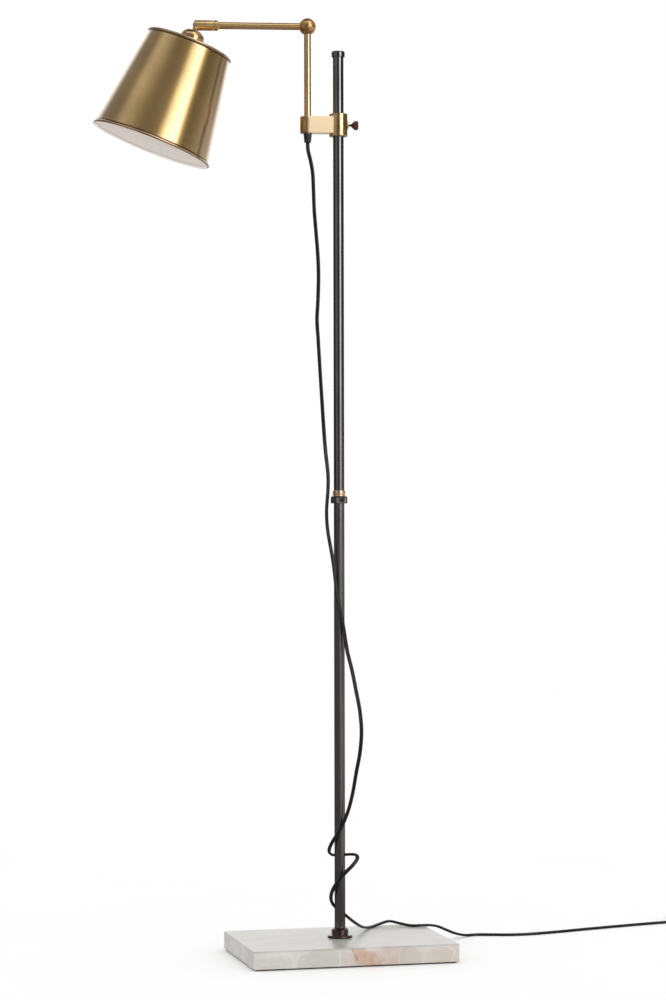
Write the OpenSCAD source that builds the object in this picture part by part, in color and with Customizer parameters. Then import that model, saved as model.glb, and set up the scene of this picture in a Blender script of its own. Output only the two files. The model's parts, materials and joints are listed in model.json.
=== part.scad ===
// Adjustable arm floor lamp: stone slab, round post, sliding clamp, swivelling
// arm and a conical metal shade on a friction knuckle.
// Millimetres. Origin: centre of the underside of the base. +Z up.
// The slab's long edges run along X. The arm reaches out towards -X.

/* [Base] */
// Width of the stone slab
slab_w = 350; // [320:5:420]
// Depth of the stone slab
slab_d = 240; // [220:5:300]
// Thickness of the stone slab
slab_h = 30; // [28:1:34]
// Bevel along the slab's edges
slab_arris = 1.2; // [0.5:0.1:3]
// Thickness of the felt under the slab
felt_h = 2; // [1:0.5:3]
// How far the felt stands back from the slab's edge
felt_inset = 5; // [2:1:15]
// Diameter of the flange at the foot of the post
flange_d = 42; // [38:1:60]
// Diameter of the flange's raised collar
foot_collar_d = 28.5; // [24:0.5:32]

/* [Post] */
// Diameter of the post's tube
post_d = 18; // [18:0.1:18.4]
// Wall of the post's tube
post_wall = 1; // [1:0.1:1.5]
// Height at which the two halves of the post meet
joint_z = 777; // [700:1:800]
// Height of the top of the post's cap
post_top = 1529; // [1526:1:1600]
// Diameter of the post's cap
cap_d = 22.3; // [21:0.1:26]
// Diameter of the dark knurled collar at the joint
joint_collar_d = 28.3; // [24:0.1:32]
// Diameter of the brass ring at the joint
joint_ring_d = 22.2; // [21:0.1:26]

/* [Clamp] */
// Height of the middle of the clamp
clamp_z = 1404; // [1300:1:1410]
// Diameter of the collar around the post
clamp_collar_d = 32; // [30:0.5:36]
// Height of the collar around the post
clamp_collar_h = 38.5; // [36:0.5:44]
// Height of the clamp's bar
bar_h = 28; // [27:0.5:32]
// Thickness of the clamp's bar
bar_t = 26; // [24:0.5:28]
// Distance from the post's axis to the arm's upright
riser_dx = 52; // [48:1:70]

/* [Arm] */
// Diameter of the arm's tubes
arm_d = 12; // [12:0.1:12.1]
// Height of the level part of the arm
arm_z = 1570; // [1560:1:1640]
// Distance from the arm's upright to the shade's pivot
reach = 186; // [180:1:300]
// Diameter of the ball at the arm's corner
ball_d = 29; // [27:0.5:34]
// Diameter of the swivel sleeve at the arm's end
sleeve_d = 17.8; // [17.4:0.1:17.9]
// Angle of the arm from the slab's long edge, seen from above
arm_yaw = 8.5; // [0:0.5:20]

/* [Shade] */
// Tilt of the shade away from straight down
shade_tilt = 21.2; // [0:0.1:60]
// Height of the shade between its rims
shade_h = 178; // [150:1:220]
// Diameter of the shade's wall at the top rim
shade_top_d = 146.4; // [120:0.1:160]
// Diameter of the shade's wall at the bottom rim
shade_bottom_d = 204.8; // [180:0.1:240]
// Thickness of the shade's sheet
shade_wall = 1; // [0.8:0.1:2]
// Diameter of the rolled bead at each rim
bead_d = 4.4; // [3:0.1:6]
// Distance from the pivot to the top rim
neck = 37; // [36:0.5:38]

/* [Cord] */
// Diameter of the cord's route solid
cord_d = 4.6; // [4:0.1:5]
// Radius of the coil, at the middle of its turns
coil_r = 33; // [31:1:36]

/* [Hidden] */
$fn = 48;
post_r = post_d / 2;
post_bore = post_r - post_wall;
slab_top = felt_h + slab_h;
clamp_bottom = clamp_z - bar_h / 2;
clamp_top = clamp_z + bar_h / 2;
collar_bottom = clamp_z - clamp_collar_h / 2;
collar_top = clamp_z + clamp_collar_h / 2;
liner_r = post_r + 1.5;
arm_r = arm_d / 2;
arm_bore = arm_r - 1;
sleeve_r = sleeve_d / 2;
bend = 8;
screw_r = 2;
stud_r = 5;
pin_r = 2;
gap = 0.3;
gland_top = clamp_bottom - 0.4;
gland_h = 15.4;
gland_z = gland_top - gland_h;
// places along the arm, measured out from its upright
ring_a = reach - 35.7;
ring_b = reach - 27.3;
sleeve_a = reach - 26.9;
sleeve_b = reach + 5.4;
tube_end = reach - 31;
nut_a = reach - 16;
slot_a = reach - 8.2;
// heights in the shade's own frame, whose origin is the tilt pivot
cup_top = -9.8;
plate_top = -neck - 2.2;
plate_t = 1.2;
rim_low = -neck - shade_h;
cap_z = plate_top - 6.8;
body_z = plate_top - 9.8;
floor_z = plate_top - 26.8;
mouth_z = plate_top - 50.8;
shell_r = 13.2;
switch_z = plate_top - 22.8;
cord_r = cord_d / 2;
zf = cord_r + 0.2;
zs = slab_top + cord_r + 0.3;
coil_c = [730, 262];

BRASS = [0.62, 0.50, 0.30];
BRONZE = [0.20, 0.18, 0.17];
STEEL = [0.65, 0.65, 0.66];

// ---- helpers ----

module tube(r, bore, z0, z1) {
    difference() {
        translate([0, 0, z0]) cylinder(r = r, h = z1 - z0);
        translate([0, 0, z0 - 1]) cylinder(r = bore, h = z1 - z0 + 2);
    }
}

module rod(r, z0, z1) {
    translate([0, 0, z0]) cylinder(r = r, h = z1 - z0);
}

module hex_nut(across, bore, z0, z1) {
    difference() {
        translate([0, 0, z0]) cylinder(r = across / sqrt(3), h = z1 - z0, $fn = 6);
        translate([0, 0, z0 - 1]) cylinder(r = bore, h = z1 - z0 + 2);
    }
}

// the frame of the clamp and arm: x points back along the arm to the post
module at_arm() {
    rotate([0, 0, -arm_yaw]) children();
}

module at_riser() {
    at_arm() translate([-riser_dx, 0, 0]) children();
}

// z measured outward along the level part of the arm, from its upright
module along_arm() {
    at_riser() translate([0, 0, arm_z]) rotate([0, -90, 0]) children();
}

// x measured outward along the thumbscrew, from the post's axis
module along_screw() {
    at_arm() translate([0, 0, clamp_z]) rotate([0, 90, 0]) children();
}

module at_shade() {
    at_riser() translate([-reach, 0, arm_z]) rotate([0, shade_tilt, 0]) children();
}

// ---- base ----

module felt_pad() {
    color([0.10, 0.10, 0.10])
    translate([-slab_w / 2 + felt_inset, -slab_d / 2 + felt_inset, 0])
        cube([slab_w - 2 * felt_inset, slab_d - 2 * felt_inset, felt_h]);
}

module bevelled_rect(a, b, c) {
    polygon([[-a / 2 + c, -b / 2], [a / 2 - c, -b / 2], [a / 2, -b / 2 + c], [a / 2, b / 2 - c],
        [a / 2 - c, b / 2], [-a / 2 + c, b / 2], [-a / 2, b / 2 - c], [-a / 2, -b / 2 + c]]);
}

module stone_base() {
    color([0.85, 0.83, 0.80])
    difference() {
        intersection() {
            translate([0, 0, felt_h]) linear_extrude(slab_h) bevelled_rect(slab_w, slab_d, slab_arris);
            translate([0, slab_d / 2 + 1, felt_h + slab_h / 2]) rotate([90, 0, 0])
                linear_extrude(slab_d + 2) bevelled_rect(slab_w, slab_h, slab_arris);
            translate([-slab_w / 2 - 1, 0, felt_h + slab_h / 2]) rotate([90, 0, 90])
                linear_extrude(slab_w + 2) bevelled_rect(slab_d, slab_h, slab_arris);
        }
        rod(18, felt_h - 1, felt_h + 14);
        rod(6, felt_h, slab_top + 1);
    }
}

module base_flange() {
    r = flange_d / 2;
    c = foot_collar_d / 2;
    z = slab_top;
    color([0.17, 0.12, 0.11])
    rotate_extrude() polygon([[stud_r + 0.1, z], [r, z], [r, z + 2.6], [r - 0.5, z + 3.8], [r - 1.8, z + 4.5],
        [c, z + 4.5], [c, z + 14.1], [post_r + 1.3, z + 16.5], [post_r, z + 16.5],
        [post_r, z + 4], [stud_r + 0.1, z + 4]]);
}

module base_stud() {
    color(STEEL) rod(stud_r, felt_h + 2.5, slab_top + 24);
}

module base_washer() {
    color(STEEL) tube(15, stud_r + 0.1, felt_h + 12, felt_h + 14);
}

module base_nut() {
    color(STEEL) hex_nut(17, stud_r, felt_h + 4, felt_h + 12);
}

module base_insert() {
    color(STEEL) tube(post_bore, stud_r, slab_top + 4, slab_top + 26);
}

// ---- post ----

module lower_post() {
    color(BRONZE) tube(post_r, post_bore, slab_top + 4, joint_z);
}

module lower_insert() {
    color(STEEL) tube(post_bore, stud_r, joint_z - 32, joint_z);
}

module joint_collar() {
    r = joint_collar_d / 2;
    z0 = joint_z - 11.8;
    color([0.15, 0.14, 0.13])
    rotate_extrude() polygon([[post_r, z0], [r - 1, z0], [r, z0 + 1], [r, joint_z - 1],
        [r - 1, joint_z], [post_r, joint_z]]);
}

module joint_ring() {
    r = joint_ring_d / 2;
    z1 = joint_z + 10.3;
    color(BRASS)
    rotate_extrude() polygon([[post_r, joint_z], [r, joint_z], [r, z1 - 0.6],
        [r - 0.6, z1], [post_r, z1]]);
}

module joint_stud() {
    color(STEEL) rod(stud_r, joint_z - 27, joint_z + 27);
}

module upper_insert() {
    color(STEEL) tube(post_bore, stud_r, joint_z, joint_z + 32);
}

module upper_post() {
    color(BRONZE) tube(post_r, post_bore, joint_z, post_top - 2.5);
}

module top_cap() {
    r = cap_d / 2;
    color([0.13, 0.12, 0.12])
    rotate_extrude() polygon([[post_r, post_top - 10], [r - 0.5, post_top - 10], [r, post_top - 9.5],
        [r, post_top - 0.7], [r - 0.7, post_top], [0, post_top], [0, post_top - 2.5], [post_r, post_top - 2.5]]);
}

// ---- clamp ----

// split sleeve that the clamp turns on and that slides on the post
module post_liner() {
    color([0.88, 0.86, 0.80])
    difference() {
        tube(liner_r, post_r + 0.05, collar_bottom + 2.3, collar_top - 2.3);
        translate([-0.75, post_r - 3, collar_bottom]) cube([1.5, 8, clamp_collar_h]);
    }
}

module clamp_bracket() {
    r = clamp_collar_d / 2;
    z0 = collar_bottom;
    z1 = collar_top;
    color(BRASS)
    at_arm() difference() {
        union() {
            rotate_extrude() polygon([[0, z0], [r - 0.8, z0], [r, z0 + 0.8], [r, z1 - 0.8], [r - 0.8, z1], [0, z1]]);
            translate([-riser_dx, -bar_t / 2, clamp_bottom]) cube([riser_dx, bar_t, bar_h]);
            translate([-riser_dx, 0, clamp_bottom]) cylinder(r = bar_t / 2, h = bar_h);
        }
        rod(post_r + 0.5, z0 - 1, z1 + 1);
        rod(liner_r + 0.05, z0 + 2, z1 - 2);
        translate([-riser_dx, 0, 0]) rod(arm_r + 1, clamp_bottom - 1, clamp_top);
        translate([-riser_dx, 0, 0]) rod(arm_r + 3, clamp_top - 7, clamp_top + 1);
        translate([0, 0, clamp_z]) rotate([0, 90, 0]) rod(screw_r + 0.05, post_r, r + 1);
    }
}

module screw_boss() {
    r = clamp_collar_d / 2;
    color(BRASS)
    difference() {
        along_screw() rod(6.75, r - 3, r + 1.1);
        rod(r, collar_bottom - 1, collar_top + 1);
        along_screw() rod(screw_r + 0.05, post_r, r + 3);
    }
}

module swivel_bushes() {
    color([0.80, 0.72, 0.50])
    at_riser() {
        tube(arm_r + 1, arm_r + 0.05, clamp_bottom, clamp_bottom + 8);
        tube(arm_r + 1, arm_r + 0.05, clamp_top - 15, clamp_top - 7);
    }
}

module wave_washer() {
    color(STEEL) at_riser() tube(arm_r + 2.6, arm_r + 0.3, clamp_top - 7, clamp_top - 6.4);
}

module pressure_pad() {
    color([0.88, 0.86, 0.80]) along_screw() rod(screw_r, liner_r + 0.35, liner_r + 3);
}

module thumb_screw() {
    color(BRONZE) along_screw() rod(screw_r, liner_r + 3.3, clamp_collar_d / 2 + 14);
}

module thumb_knob() {
    x = clamp_collar_d / 2 + 5.6;
    color([0.28, 0.20, 0.17])
    along_screw() rotate_extrude() polygon([[screw_r, x], [2.7, x], [3.2, x + 1.2], [6.6, x + 4.6],
        [7.95, x + 6.2], [7.95, x + 10.2], [6.7, x + 12], [0, x + 12], [0, x + 8.4], [screw_r, x + 8.4]]);
}

// ---- arm ----

module arm_riser() {
    color(BRASS) at_riser() tube(arm_r, arm_bore, gland_z + 4.8, arm_z - bend);
}

module riser_collar() {
    color(BRASS) at_riser() tube(arm_r + 2.5, arm_r, clamp_top - 6, clamp_top - 0.6);
}

module strain_relief() {
    color([0.05, 0.05, 0.05])
    at_riser() rotate_extrude() polygon([[cord_r + 0.1, gland_z], [5.9, gland_z], [6.25, gland_z + 0.6],
        [7.3, gland_top], [arm_r, gland_top], [arm_r, gland_z + 4.8], [cord_r + 0.1, gland_z + 4.8]]);
}

module corner(r) {
    translate([-bend, 0, arm_z - bend]) rotate([90, 0, 0])
        rotate_extrude(angle = 90) translate([bend, 0]) circle(r = r);
}

module ball_elbow() {
    color(BRASS)
    at_riser() difference() {
        translate([0, 0, arm_z]) sphere(r = ball_d / 2);
        rod(arm_r, arm_z - ball_d, arm_z - bend);
        translate([-bend, 0, arm_z]) rotate([0, -90, 0]) cylinder(r = arm_r, h = ball_d);
        corner(3.2);
    }
}

module arm_tube() {
    color(BRASS) along_arm() tube(arm_r, arm_bore, bend, tube_end);
}

module arm_lead() {
    color([0.08, 0.08, 0.08]) {
        at_riser() {
            rod(cord_r, gland_z + 0.3, arm_z - bend);
            corner(cord_r);
        }
        along_arm() rod(cord_r, bend, nut_a + 2);
    }
}

module swivel_collar() {
    color(BRASS)
    along_arm() rotate_extrude() polygon([[arm_r, ring_a], [sleeve_r - 1.6, ring_a], [sleeve_r, ring_a + 1.6],
        [sleeve_r, ring_b], [stud_r, ring_b], [stud_r, tube_end], [arm_r, tube_end]]);
}

module swivel_nipple() {
    color(STEEL) along_arm() tube(stud_r, 3.4, reach - 46, nut_a + 2.5);
}

module swivel_nut() {
    color(STEEL) along_arm() tube(6.8, stud_r, nut_a + 0.3, nut_a + 2.5);
}

module swivel_sleeve() {
    color(BRASS)
    difference() {
        along_arm() rotate_extrude() polygon([[0, sleeve_a], [sleeve_r - 0.4, sleeve_a], [sleeve_r, sleeve_a + 0.4],
            [sleeve_r, sleeve_b - 0.6], [sleeve_r - 0.6, sleeve_b], [0, sleeve_b]]);
        along_arm() rod(stud_r + 0.05, sleeve_a - 1, nut_a + 1);
        along_arm() rod(7.2, nut_a, slot_a + 0.1);
        at_riser() translate([-reach - 10, -2.8, arm_z - 12]) cube([18.2, 5.6, 24]);
        at_riser() translate([-reach, 12, arm_z]) rotate([90, 0, 0]) cylinder(r = pin_r, h = 24);
        // the cheeks are rounded below the pivot, to clear the cup as it tilts
        at_riser() translate([-reach, 12, arm_z]) difference() {
            translate([-12, -24, -12]) cube([12, 24, 12]);
            translate([0, 3, 0]) rotate([90, 0, 0]) cylinder(r = 8.8, h = 30);
        }
    }
}

module tilt_pin() {
    color(STEEL) at_riser() translate([-reach, 8.4, arm_z]) rotate([90, 0, 0]) cylinder(r = pin_r, h = 16.8);
}

// ---- shade ----

module knuckle() {
    color([0.70, 0.66, 0.60])
    at_shade() difference() {
        union() {
            translate([0, 2.5, 0]) rotate([90, 0, 0]) cylinder(r = 7.6, h = 5);
            translate([-5, -2.5, cup_top - 0.5]) cube([10, 5, -cup_top + 0.5]);
            rod(6.5, cup_top - 12, cup_top);
        }
        translate([0, 4, 0]) rotate([90, 0, 0]) cylinder(r = pin_r + 0.05, h = 8);
        rod(stud_r, cup_top - 13, cup_top - 3.2);
    }
}

function cup_arc(a, b, n) = [for (i = [0:n]) [6 + a * sin(90 * i / n), cup_top - 12.6 + b * cos(90 * i / n)]];

module socket_cup() {
    color(BRASS)
    at_shade() rotate_extrude() polygon(concat([[6.5, cup_top]], [for (p = cup_arc(14.5, 12.6, 12)) if (p[0] > 6.6) p],
        [[21.6, plate_top], [20.2, plate_top]],
        [for (i = [12:-1:1]) if (6 + 13.1 * sin(90 * i / 12) > 6.6) [6 + 13.1 * sin(90 * i / 12), cup_top - 12.6 + 11.2 * cos(90 * i / 12)]],
        [[6.5, cup_top - 1.4]]));
}

module cup_nut() {
    color(STEEL) at_shade() hex_nut(18, 6.5, cup_top - 6, cup_top - 2.15);
}

module lamp_nipple() {
    color(STEEL) at_shade() tube(stud_r, 3.4, body_z + 0.1, cup_top - 3.3);
}

module shade_shell() {
    rt = shade_top_d / 2;
    rb = shade_bottom_d / 2;
    k = (rb - rt) / shade_h;
    color(BRASS)
    at_shade() difference() {
        union() {
            rotate_extrude($fn = 96)
                polygon([[rt - shade_wall, -neck], [rt, -neck], [rb, rim_low], [rb - shade_wall, rim_low]]);
            rotate_extrude($fn = 96) translate([rt, -neck]) circle(r = bead_d / 2);
            rotate_extrude($fn = 96) translate([rb, rim_low]) circle(r = bead_d / 2);
            rotate_extrude($fn = 96) polygon([[stud_r + 0.1, plate_top - plate_t], [stud_r + 0.1, plate_top],
                [rt + k * 2.2 - shade_wall / 2, plate_top], [rt + k * 3.4 - shade_wall / 2, plate_top - plate_t]]);
        }
        for (a = [0:45:315]) rotate([0, 0, a + 22.5]) translate([46, 0, 0]) rod(4, plate_top - 4, plate_top + 2);
    }
}

module shade_nut() {
    color(STEEL) at_shade() hex_nut(16, stud_r, plate_top - plate_t - 4, plate_top - plate_t);
}

module socket_cap() {
    color(BRASS)
    at_shade() rotate_extrude() polygon([[stud_r, cap_z], [15.6, cap_z], [17.5, cap_z - 2], [17.5, cap_z - 12],
        [16.3, cap_z - 12], [16.3, cap_z - 1.2], [stud_r, cap_z - 1.2]]);
}

module socket_body() {
    color([0.10, 0.09, 0.08])
    at_shade() difference() {
        rod(16.3, mouth_z, body_z);
        rod(14, mouth_z - 1, floor_z);
        rod(5.05, floor_z - 1, floor_z + 1.2);
        rod(3.4, floor_z - 1, body_z + 1);
        translate([0, -9.5, switch_z]) rotate([90, 0, 0]) cylinder(r = 2.05, h = 10);
    }
}

module screw_shell() {
    color([0.75, 0.72, 0.62]) at_shade() tube(14, shell_r, mouth_z + 0.5, floor_z - 0.3);
}

module center_contact() {
    color([0.75, 0.60, 0.30]) at_shade() rod(5, floor_z, floor_z + 1.2);
}

module socket_lead() {
    color([0.08, 0.08, 0.08]) at_shade() rod(cord_r, floor_z + 1.4, cup_top - 4.2);
}

module switch_key() {
    color(BRASS)
    at_shade() {
        translate([0, -10, switch_z]) rotate([90, 0, 0]) cylinder(r = 2, h = 20);
        difference() {
            translate([-1.6, -37, switch_z]) rotate([0, 90, 0]) cylinder(r = 9, h = 3.2);
            translate([-4, -60, switch_z - 12]) cube([8, 18, 24]);
            translate([-4, -28, switch_z - 12]) cube([8, 18, 24]);
        }
    }
}

// ---- cord ----

function unit(v) = v / norm(v);
function tangent(p, i) = unit(p[min(i + 1, len(p) - 1)] - p[max(i - 1, 0)]);
// a side vector carried along the route without twisting
function sides(p, i, n) = i >= len(p) ? [] :
    let (t = tangent(p, i), m = unit(n - (n * t) * t)) concat([m], sides(p, i + 1, m));

module sweep(p, r, k = 10) {
    s = sides(p, 0, [0.31, 0.95, 0.05]);
    pts = [for (i = [0:len(p) - 1]) let (t = tangent(p, i), u = s[i], w = cross(t, u))
        for (j = [0:k - 1]) p[i] + r * (cos(360 * j / k) * u + sin(360 * j / k) * w)];
    n = len(p);
    faces = concat(
        [[for (j = [0:k - 1]) j]],
        [for (i = [0:n - 2]) for (j = [0:k - 1]) let (a = i * k + j, b = i * k + (j + 1) % k) [a, a + k, b]],
        [for (i = [0:n - 2]) for (j = [0:k - 1]) let (a = i * k + j, b = i * k + (j + 1) % k) [b, a + k, b + k]],
        [[for (j = [k - 1:-1:0]) (n - 1) * k + j]]);
    polyhedron(points = pts, faces = faces);
}

// Route of the cord: down from the arm's gland, twice round the post, over
// the slab's back right and out along the floor to the coil.
gx = -riser_dx * cos(arm_yaw);
gy = riser_dx * sin(arm_yaw);
route = [[gx, gy, gland_z], [gx + 0.4, gy - 0.2, gland_z - 12], [-47, 6.5, 1345], [-43.5, 5.5, 1324],
    [-42, 5, 1290], [-41, 4.5, 1260], [-38.5, 3.5, 1226], [-35.5, 2.5, 1185], [-34.5, 1.5, 1150],
    [-36, 1, 1103], [-37.5, 1, 1076], [-36, 0, 1046], [-30, -2, 940], [-25, -4, 860], [-20.5, -6, 812],
    [-21, -7, 788], [-23.5, -7, 752], [-22, -7.5, 722], [-13.5, -11, 668], [-5, -13, 600], [0.5, -14, 574],
    [4.5, -14.5, 550], [10, -16, 515], [17, -17.5, 486], [24, -19, 450], [30.5, -20, 414], [33, -20.5, 380],
    [30.5, -20, 346], [24, -18.5, 310], [18.5, -17.5, 278], [12, -16, 251], [3, -14, 227], [-6, -12.5, 210],
    [-13, -9, 198], [-17.5, -3.5, 187], [-18, 3.5, 178], [-14, 10, 172], [-6.5, 13.5, 169.5], [2.5, 13.5, 169.5],
    [11.5, 11, 170], [20.5, 6.5, 171], [27, 0, 171], [29.5, -6.5, 168.5], [26.5, -12, 163.5], [18, -15.5, 154.5],
    [7.5, -15, 144.5], [-2, -13, 134], [-10, -10.5, 122.5], [-14.5, -6, 112], [-15.5, 0.5, 102], [-13, 7.5, 92.5],
    [-6.5, 12.5, 83], [2.5, 14, 75.5], [11.5, 13.5, 68.5], [20, 17, 61.5], [30, 26, 54], [42, 41, 46],
    [56, 61, 38.5], [76, 87, zs], [100, 109, zs], [118, 118, zs + 1], [134, 105, zs], [150, 87, zs],
    [168, 82, zs], [184, 89, zs - 1], [200, 100, zs - 5], [222, 119, 19.5], [246, 141, 9.5], [268, 157, zf + 1.2],
    [290, 163, zf], [314, 156, zf], [345, 147, zf], [380, 146, zf], [430, 157, zf], [490, 175, zf],
    [560, 195, zf], [630, 213, zf], [668, 221, zf], [695, 225, zf], [712, 225.5, zf]];

module cord() {
    color([0.08, 0.08, 0.08]) sweep(route, cord_r);
}

module cord_coil() {
    color([0.08, 0.08, 0.08])
    translate([coil_c[0], coil_c[1], 0]) rotate_extrude() polygon([[coil_r - 5.4, 0.9], [coil_r + 5.4, 0.9],
        [coil_r + 6.6, 2.1], [coil_r + 6.6, 8.6], [coil_r + 5.4, 9.8], [coil_r - 5.4, 9.8],
        [coil_r - 6.6, 8.6], [coil_r - 6.6, 2.1]]);
}

module cord_tail() {
    color([0.08, 0.08, 0.08])
    sweep([[766, 270, 5], [765.5, 278, 5], [763, 287, 5.5], [760, 295, 6.2], [757, 303, 6.5]], cord_r);
}

module coil_tie() {
    color([0.12, 0.12, 0.13])
    translate([coil_c[0], coil_c[1], 0]) rotate([0, 0, 150]) rotate_extrude(angle = 18) difference() {
        translate([coil_r - 7.6, 0]) square([15.2, 10.8]);
        translate([coil_r - 6.7, 0.8]) square([13.4, 9.1]);
    }
}

module at_plug() {
    translate([757, 303, 6.5]) rotate([0, 0, 20]) children();
}

module plug_body() {
    color([0.06, 0.06, 0.06])
    at_plug() translate([0, 0, -6.5]) linear_extrude(13) polygon([[-4, 0], [4, 0], [6, 9], [12, 14], [12, 28],
        [11, 30], [-11, 30], [-12, 28], [-12, 14], [-6, 9]]);
}

module plug_blades() {
    color([0.80, 0.72, 0.45])
    at_plug() for (x = [-6.35, 6.35]) translate([x - 0.75, 30, -3.15]) cube([1.5, 16.5, 6.3]);
}

felt_pad();
stone_base();
base_flange();
base_stud();
base_washer();
base_nut();
base_insert();
lower_post();
lower_insert();
joint_collar();
joint_ring();
joint_stud();
upper_insert();
upper_post();
top_cap();
post_liner();
clamp_bracket();
screw_boss();
swivel_bushes();
wave_washer();
pressure_pad();
thumb_screw();
thumb_knob();
arm_riser();
riser_collar();
strain_relief();
ball_elbow();
arm_tube();
arm_lead();
swivel_collar();
swivel_nipple();
swivel_nut();
swivel_sleeve();
tilt_pin();
knuckle();
socket_cup();
cup_nut();
lamp_nipple();
shade_shell();
shade_nut();
socket_cap();
socket_body();
screw_shell();
center_contact();
socket_lead();
switch_key();
cord();
cord_coil();
cord_tail();
coil_tie();
plug_body();
plug_blades();
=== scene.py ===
import json
import math

import bmesh
import bpy
import numpy as np
from mathutils import Matrix, Vector


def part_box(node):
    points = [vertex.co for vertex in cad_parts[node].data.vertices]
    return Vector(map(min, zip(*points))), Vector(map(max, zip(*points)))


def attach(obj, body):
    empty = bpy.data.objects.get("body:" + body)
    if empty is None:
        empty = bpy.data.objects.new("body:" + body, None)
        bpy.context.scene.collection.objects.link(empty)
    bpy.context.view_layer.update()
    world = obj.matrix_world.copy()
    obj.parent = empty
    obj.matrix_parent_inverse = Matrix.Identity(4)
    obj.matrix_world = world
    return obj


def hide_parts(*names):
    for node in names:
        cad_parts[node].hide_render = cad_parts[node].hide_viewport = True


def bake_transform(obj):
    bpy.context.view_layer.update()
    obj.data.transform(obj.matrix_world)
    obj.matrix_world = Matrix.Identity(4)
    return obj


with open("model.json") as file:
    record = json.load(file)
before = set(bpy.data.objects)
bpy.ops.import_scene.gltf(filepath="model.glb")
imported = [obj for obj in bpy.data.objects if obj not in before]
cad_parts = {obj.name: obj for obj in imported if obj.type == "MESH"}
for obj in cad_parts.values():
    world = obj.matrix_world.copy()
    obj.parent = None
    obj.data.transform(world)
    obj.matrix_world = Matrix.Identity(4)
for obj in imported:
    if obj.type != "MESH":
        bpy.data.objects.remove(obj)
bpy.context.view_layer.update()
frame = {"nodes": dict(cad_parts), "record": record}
rec = frame["record"]
sc = bpy.context.scene

MM = 0.001

# ---------------------------------------------------------------- camera ----

V = Vector((0.2402, 0.9707, 0.0)).normalized()
R = Vector((V.y, -V.x, 0.0))
UP = Vector((0, 0, 1))

ROLL = math.radians(0.12)
right = R * math.cos(ROLL) - UP * math.sin(ROLL)
up = UP * math.cos(ROLL) + R * math.sin(ROLL)
cam_data = bpy.data.cameras.new("camera")
cam_data.sensor_fit = "VERTICAL"
cam_data.sensor_height = 36.0
cam_data.sensor_width = 24.0
cam_data.lens = 104.58
cam_data.clip_end = 200
camera = bpy.data.objects.new("camera", cam_data)
sc.collection.objects.link(camera)
pos = Vector((-1.1891, -4.7627, 0.771))
camera.matrix_world = Matrix((
    (right.x, up.x, -V.x, pos.x),
    (right.y, up.y, -V.y, pos.y),
    (right.z, up.z, -V.z, pos.z),
    (0, 0, 0, 1)))
sc.camera = camera
sc.view_settings.view_transform = "Standard"
sc.view_settings.look = "None"

# ---------------------------------------------------------------- frames ----

YAW = math.radians(8.5)
EX = Vector((math.cos(YAW), -math.sin(YAW), 0))   # from the arm's upright back to the post
EY = Vector((math.sin(YAW), math.cos(YAW), 0))
ARM_Z = 1570.0
RISER = Vector((-52 * EX.x, -52 * EX.y, 0)) * MM
PIVOT = RISER - EX * 0.186 + UP * (ARM_Z * MM)


def frame_of(origin, z, x):
    z = Vector(z).normalized()
    x = (Vector(x) - Vector(x).dot(z) * z).normalized()
    y = z.cross(x)
    return Matrix(((x.x, y.x, z.x, origin[0]), (x.y, y.y, z.y, origin[1]),
                   (x.z, y.z, z.z, origin[2]), (0, 0, 0, 1)))


M_ID = Matrix.Identity(4)
M_CLAMP = frame_of((0, 0, 0), UP, EX)                          # x back from the upright, z up
M_RISER = frame_of(RISER, UP, EX)
M_ARM = frame_of(RISER + UP * (ARM_Z * MM), -EX, -UP)          # z outwards along the arm
M_PIVOT = frame_of(PIVOT, UP, EX)
M_SCREW = frame_of((0, 0, 1.404), EX, UP)
M_SHADE = M_PIVOT @ Matrix.Rotation(math.radians(21.2), 4, "Y")

# ------------------------------------------------------------ mesh tools ----


def make(name, verts, faces, M=M_ID, sharp=35, smooth=True):
    me = bpy.data.meshes.new(name)
    me.from_pydata([tuple(v) for v in verts], [], faces)
    bm = bmesh.new()
    bm.from_mesh(me)
    bmesh.ops.remove_doubles(bm, verts=bm.verts, dist=1e-7)
    bmesh.ops.recalc_face_normals(bm, faces=bm.faces)
    bm.to_mesh(me)
    bm.free()
    if smooth:
        me.shade_smooth()
        if sharp:
            me.set_sharp_from_angle(angle=math.radians(sharp))
    ob = bpy.data.objects.new(name, me)
    sc.collection.objects.link(ob)
    ob.matrix_world = M
    return ob


def rounded(points, seg=4):
    """Corner points as (r, z) or (r, z, fillet radius), turned into a smooth profile. All in millimetres."""
    out, n = [], len(points)
    for i, p in enumerate(points):
        if len(p) < 3 or p[2] <= 0:
            out.append((p[0], p[1]))
            continue
        a = Vector(points[i - 1][:2])
        b = Vector(p[:2])
        c = Vector(points[(i + 1) % n][:2])
        u, w = (a - b).normalized(), (c - b).normalized()
        ang = math.acos(max(-1, min(1, u.dot(w))))
        d = min(p[2] / math.tan(ang / 2), 0.49 * (a - b).length, 0.49 * (c - b).length)
        r = d * math.tan(ang / 2)
        cen = b + (u + w).normalized() * (r / math.sin(ang / 2))
        s, e = b + u * d - cen, b + w * d - cen
        tot = math.atan2(s.x * e.y - s.y * e.x, s.dot(e))
        for k in range(seg + 1):
            t = tot * k / seg
            out.append((cen.x + s.x * math.cos(t) - s.y * math.sin(t), cen.y + s.x * math.sin(t) + s.y * math.cos(t)))
    return out


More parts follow.
